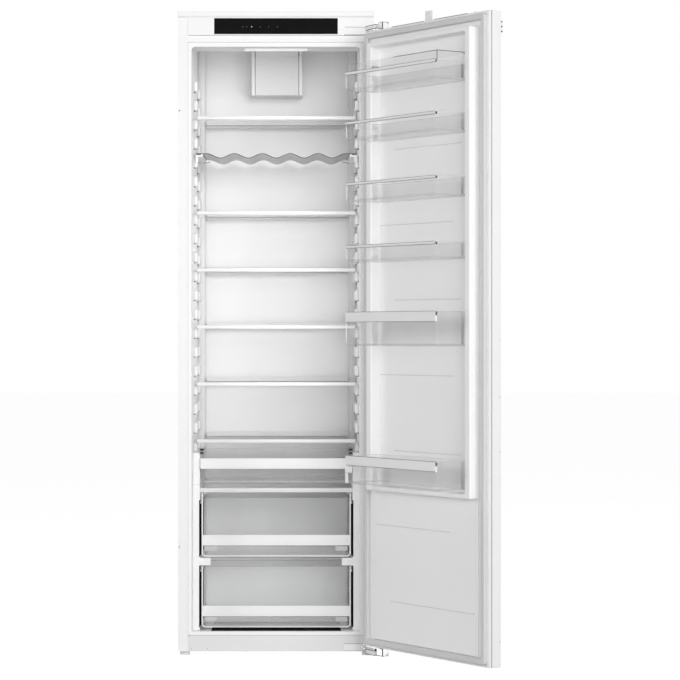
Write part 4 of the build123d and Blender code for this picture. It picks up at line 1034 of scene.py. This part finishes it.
def build_fixing_details(bm):
    """Dark gaps under the furniture rail, the edge screws and the clip at the door's free corner."""
    low, high = closed_box("furniture_fixings")
    door_top = closed_box("door_skin")[1].z
    for x in ((-166, -26), (20, 165)):
        add_box(bm, x, (high.y - 0.6, high.y + 0.4), (door_top + 0.1, door_top + 3.3), 0.3, 1)
    for height in (870.8, 725.5, 586.6, 102.5):
        lathe(bm, (low.x + 0.4, -45, height), (-1, 0, 0), [(2.0, 0), (2.0, 0.35), (1.4, 0.4)], 20)
    for height in (1680.5, 1668.0, 1655.5):
        add_box(bm, (low.x + 0.1, low.x + 6), (low.y + 0.6, low.y + 5.0), (height - 1.8, height + 1.8), 0.8, 2)


hinge_looks = ["bright_zinc", "hinge_gap", "white_moulding", "line_grey"]
add_piece("cabinet_hinges", build_cabinet_hinges, "cabinet", "hinge_steel", hinge_looks,
          replaces=["hinge_arms", "hinge_pins", "cabinet_screws"])
add_piece("door_hinge_plates", build_door_hinges, "door", "hinge_steel", hinge_looks,
          replaces=["door_hinge_brackets"])
add_piece("front_screws", build_plinth_screws, "cabinet", "zinc_steel", ["seam_grey", "line_grey"])
dress("furniture_fixings", "pale_fixing", 0.5)
add_piece("fixing_details", build_fixing_details, "door", "zinc_steel", ["oiled_steel"])

# Machine compartment, back and feet

dress("compressor", "black_enamel", 1.5, 3)
dress("evaporating_pan", "grey_moulding", 0.6)
dress("drain_tube", "grey_moulding")
dress("mains_inlet", "black_moulding", 0.6)
dress("condenser", "dipped_black")
dress("foot_left", "foot_plastic", 0.8)
dress("foot_right", "foot_plastic", 0.8)
dress("rear_rollers", "black_moulding", 1.0)
dress("foot_and_roller_mounts", "zinc_sheet", 0.5)


# Stage, lights and camera, in metres

def build_floor():
    """A pale floor that looks nearly white to the camera."""
    reach, shown_level = 30.0, 0.82
    mesh = bpy.data.meshes.new("floor")
    corners = [(-reach, -reach, 0), (reach, -reach, 0), (reach, reach, 0), (-reach, reach, 0)]
    mesh.from_pydata(corners, [], [range(len(corners))])
    floor = bpy.data.objects.new("floor", mesh)
    bpy.context.scene.collection.objects.link(floor)
    paint = bpy.data.materials.new("floor_paint")
    paint.use_nodes = True
    tree = paint.node_tree
    shader = tree.nodes["Principled BSDF"]
    shader.inputs["Base Color"].default_value = (0.6, 0.6, 0.6, 1)
    shader.inputs["Roughness"].default_value = 0.9
    shader.inputs["Specular IOR Level"].default_value = 0.1
    shader.inputs["Emission Color"].default_value = (1, 1, 1, 1)
    lift = calculate(tree, "MULTIPLY", seen_straight(tree), shown_level)
    tree.links.new(lift, shader.inputs["Emission Strength"])
    mesh.materials.append(paint)


def build_world(room_level):
    """An even pale room that looks white to the camera."""
    world = bpy.data.worlds.new("room")
    bpy.context.scene.world = world
    world.use_nodes = True
    tree = world.node_tree
    tree.nodes.clear()
    output = tree.nodes.new("ShaderNodeOutputWorld")
    mix = tree.nodes.new("ShaderNodeMixShader")
    tree.links.new(seen_straight(tree), mix.inputs["Fac"])
    for place, strength in ((1, room_level), (2, 1.0)):
        light = node_of(tree, "ShaderNodeBackground", Color=(1, 1, 1, 1), Strength=strength)
        tree.links.new(light.outputs[0], mix.inputs[place])
    tree.links.new(mix.outputs[0], output.inputs["Surface"])


def add_lamp(name, place, target, size, power):
    """A square soft lamp that looks at a point."""
    data = bpy.data.lights.new(name, "AREA")
    data.shape = "RECTANGLE"
    data.size, data.size_y = size
    data.energy = power
    lamp = bpy.data.objects.new(name, data)
    lamp.location = place
    lamp.rotation_euler = (Vector(target) - Vector(place)).to_track_quat("-Z", "Y").to_euler()
    lamp.visible_camera = False
    lamp.visible_glossy = name != "cavity"
    bpy.context.scene.collection.objects.link(lamp)


build_floor()
build_world(room_level=0.2)
add_lamp("right_key", (3.6, -4.6, 2.2), (0.3, 0, 1.0), (1.4, 1.8), 72)
add_lamp("right_low", (2.6, -5.0, 0.8), (0.0, 0, 0.9), (1.2, 1.2), 29)
add_lamp("right_front", (1.6, -6.2, 2.4), (0.0, 0, 1.1), (1.6, 1.6), 91)
add_lamp("camera_front", (0.0, -7.6, 1.4), (0.0, 0, 1.1), (2.6, 1.8), 66)
add_lamp("left_side", (-4.6, -2.6, 2.0), (0.0, 0, 1.0), (1.6, 2.4), 84)
add_lamp("cavity", (0.0, 0.03, 1.11), (0.0, 1.0, 1.11), (0.3, 0.98), 0.55)

camera_data = bpy.data.cameras.new("camera")
camera_data.sensor_width = 36.0
camera_data.lens = 127.16
camera_data.shift_x = 0.0632
camera_data.shift_y = -0.0074
camera = bpy.data.objects.new("camera", camera_data)
camera.location = (0.058, -6.607, 0.883)
camera.rotation_euler = (math.radians(90), 0, 0)
bpy.context.scene.collection.objects.link(camera)
bpy.context.scene.camera = camera
bpy.context.scene.view_settings.view_transform = "Standard"
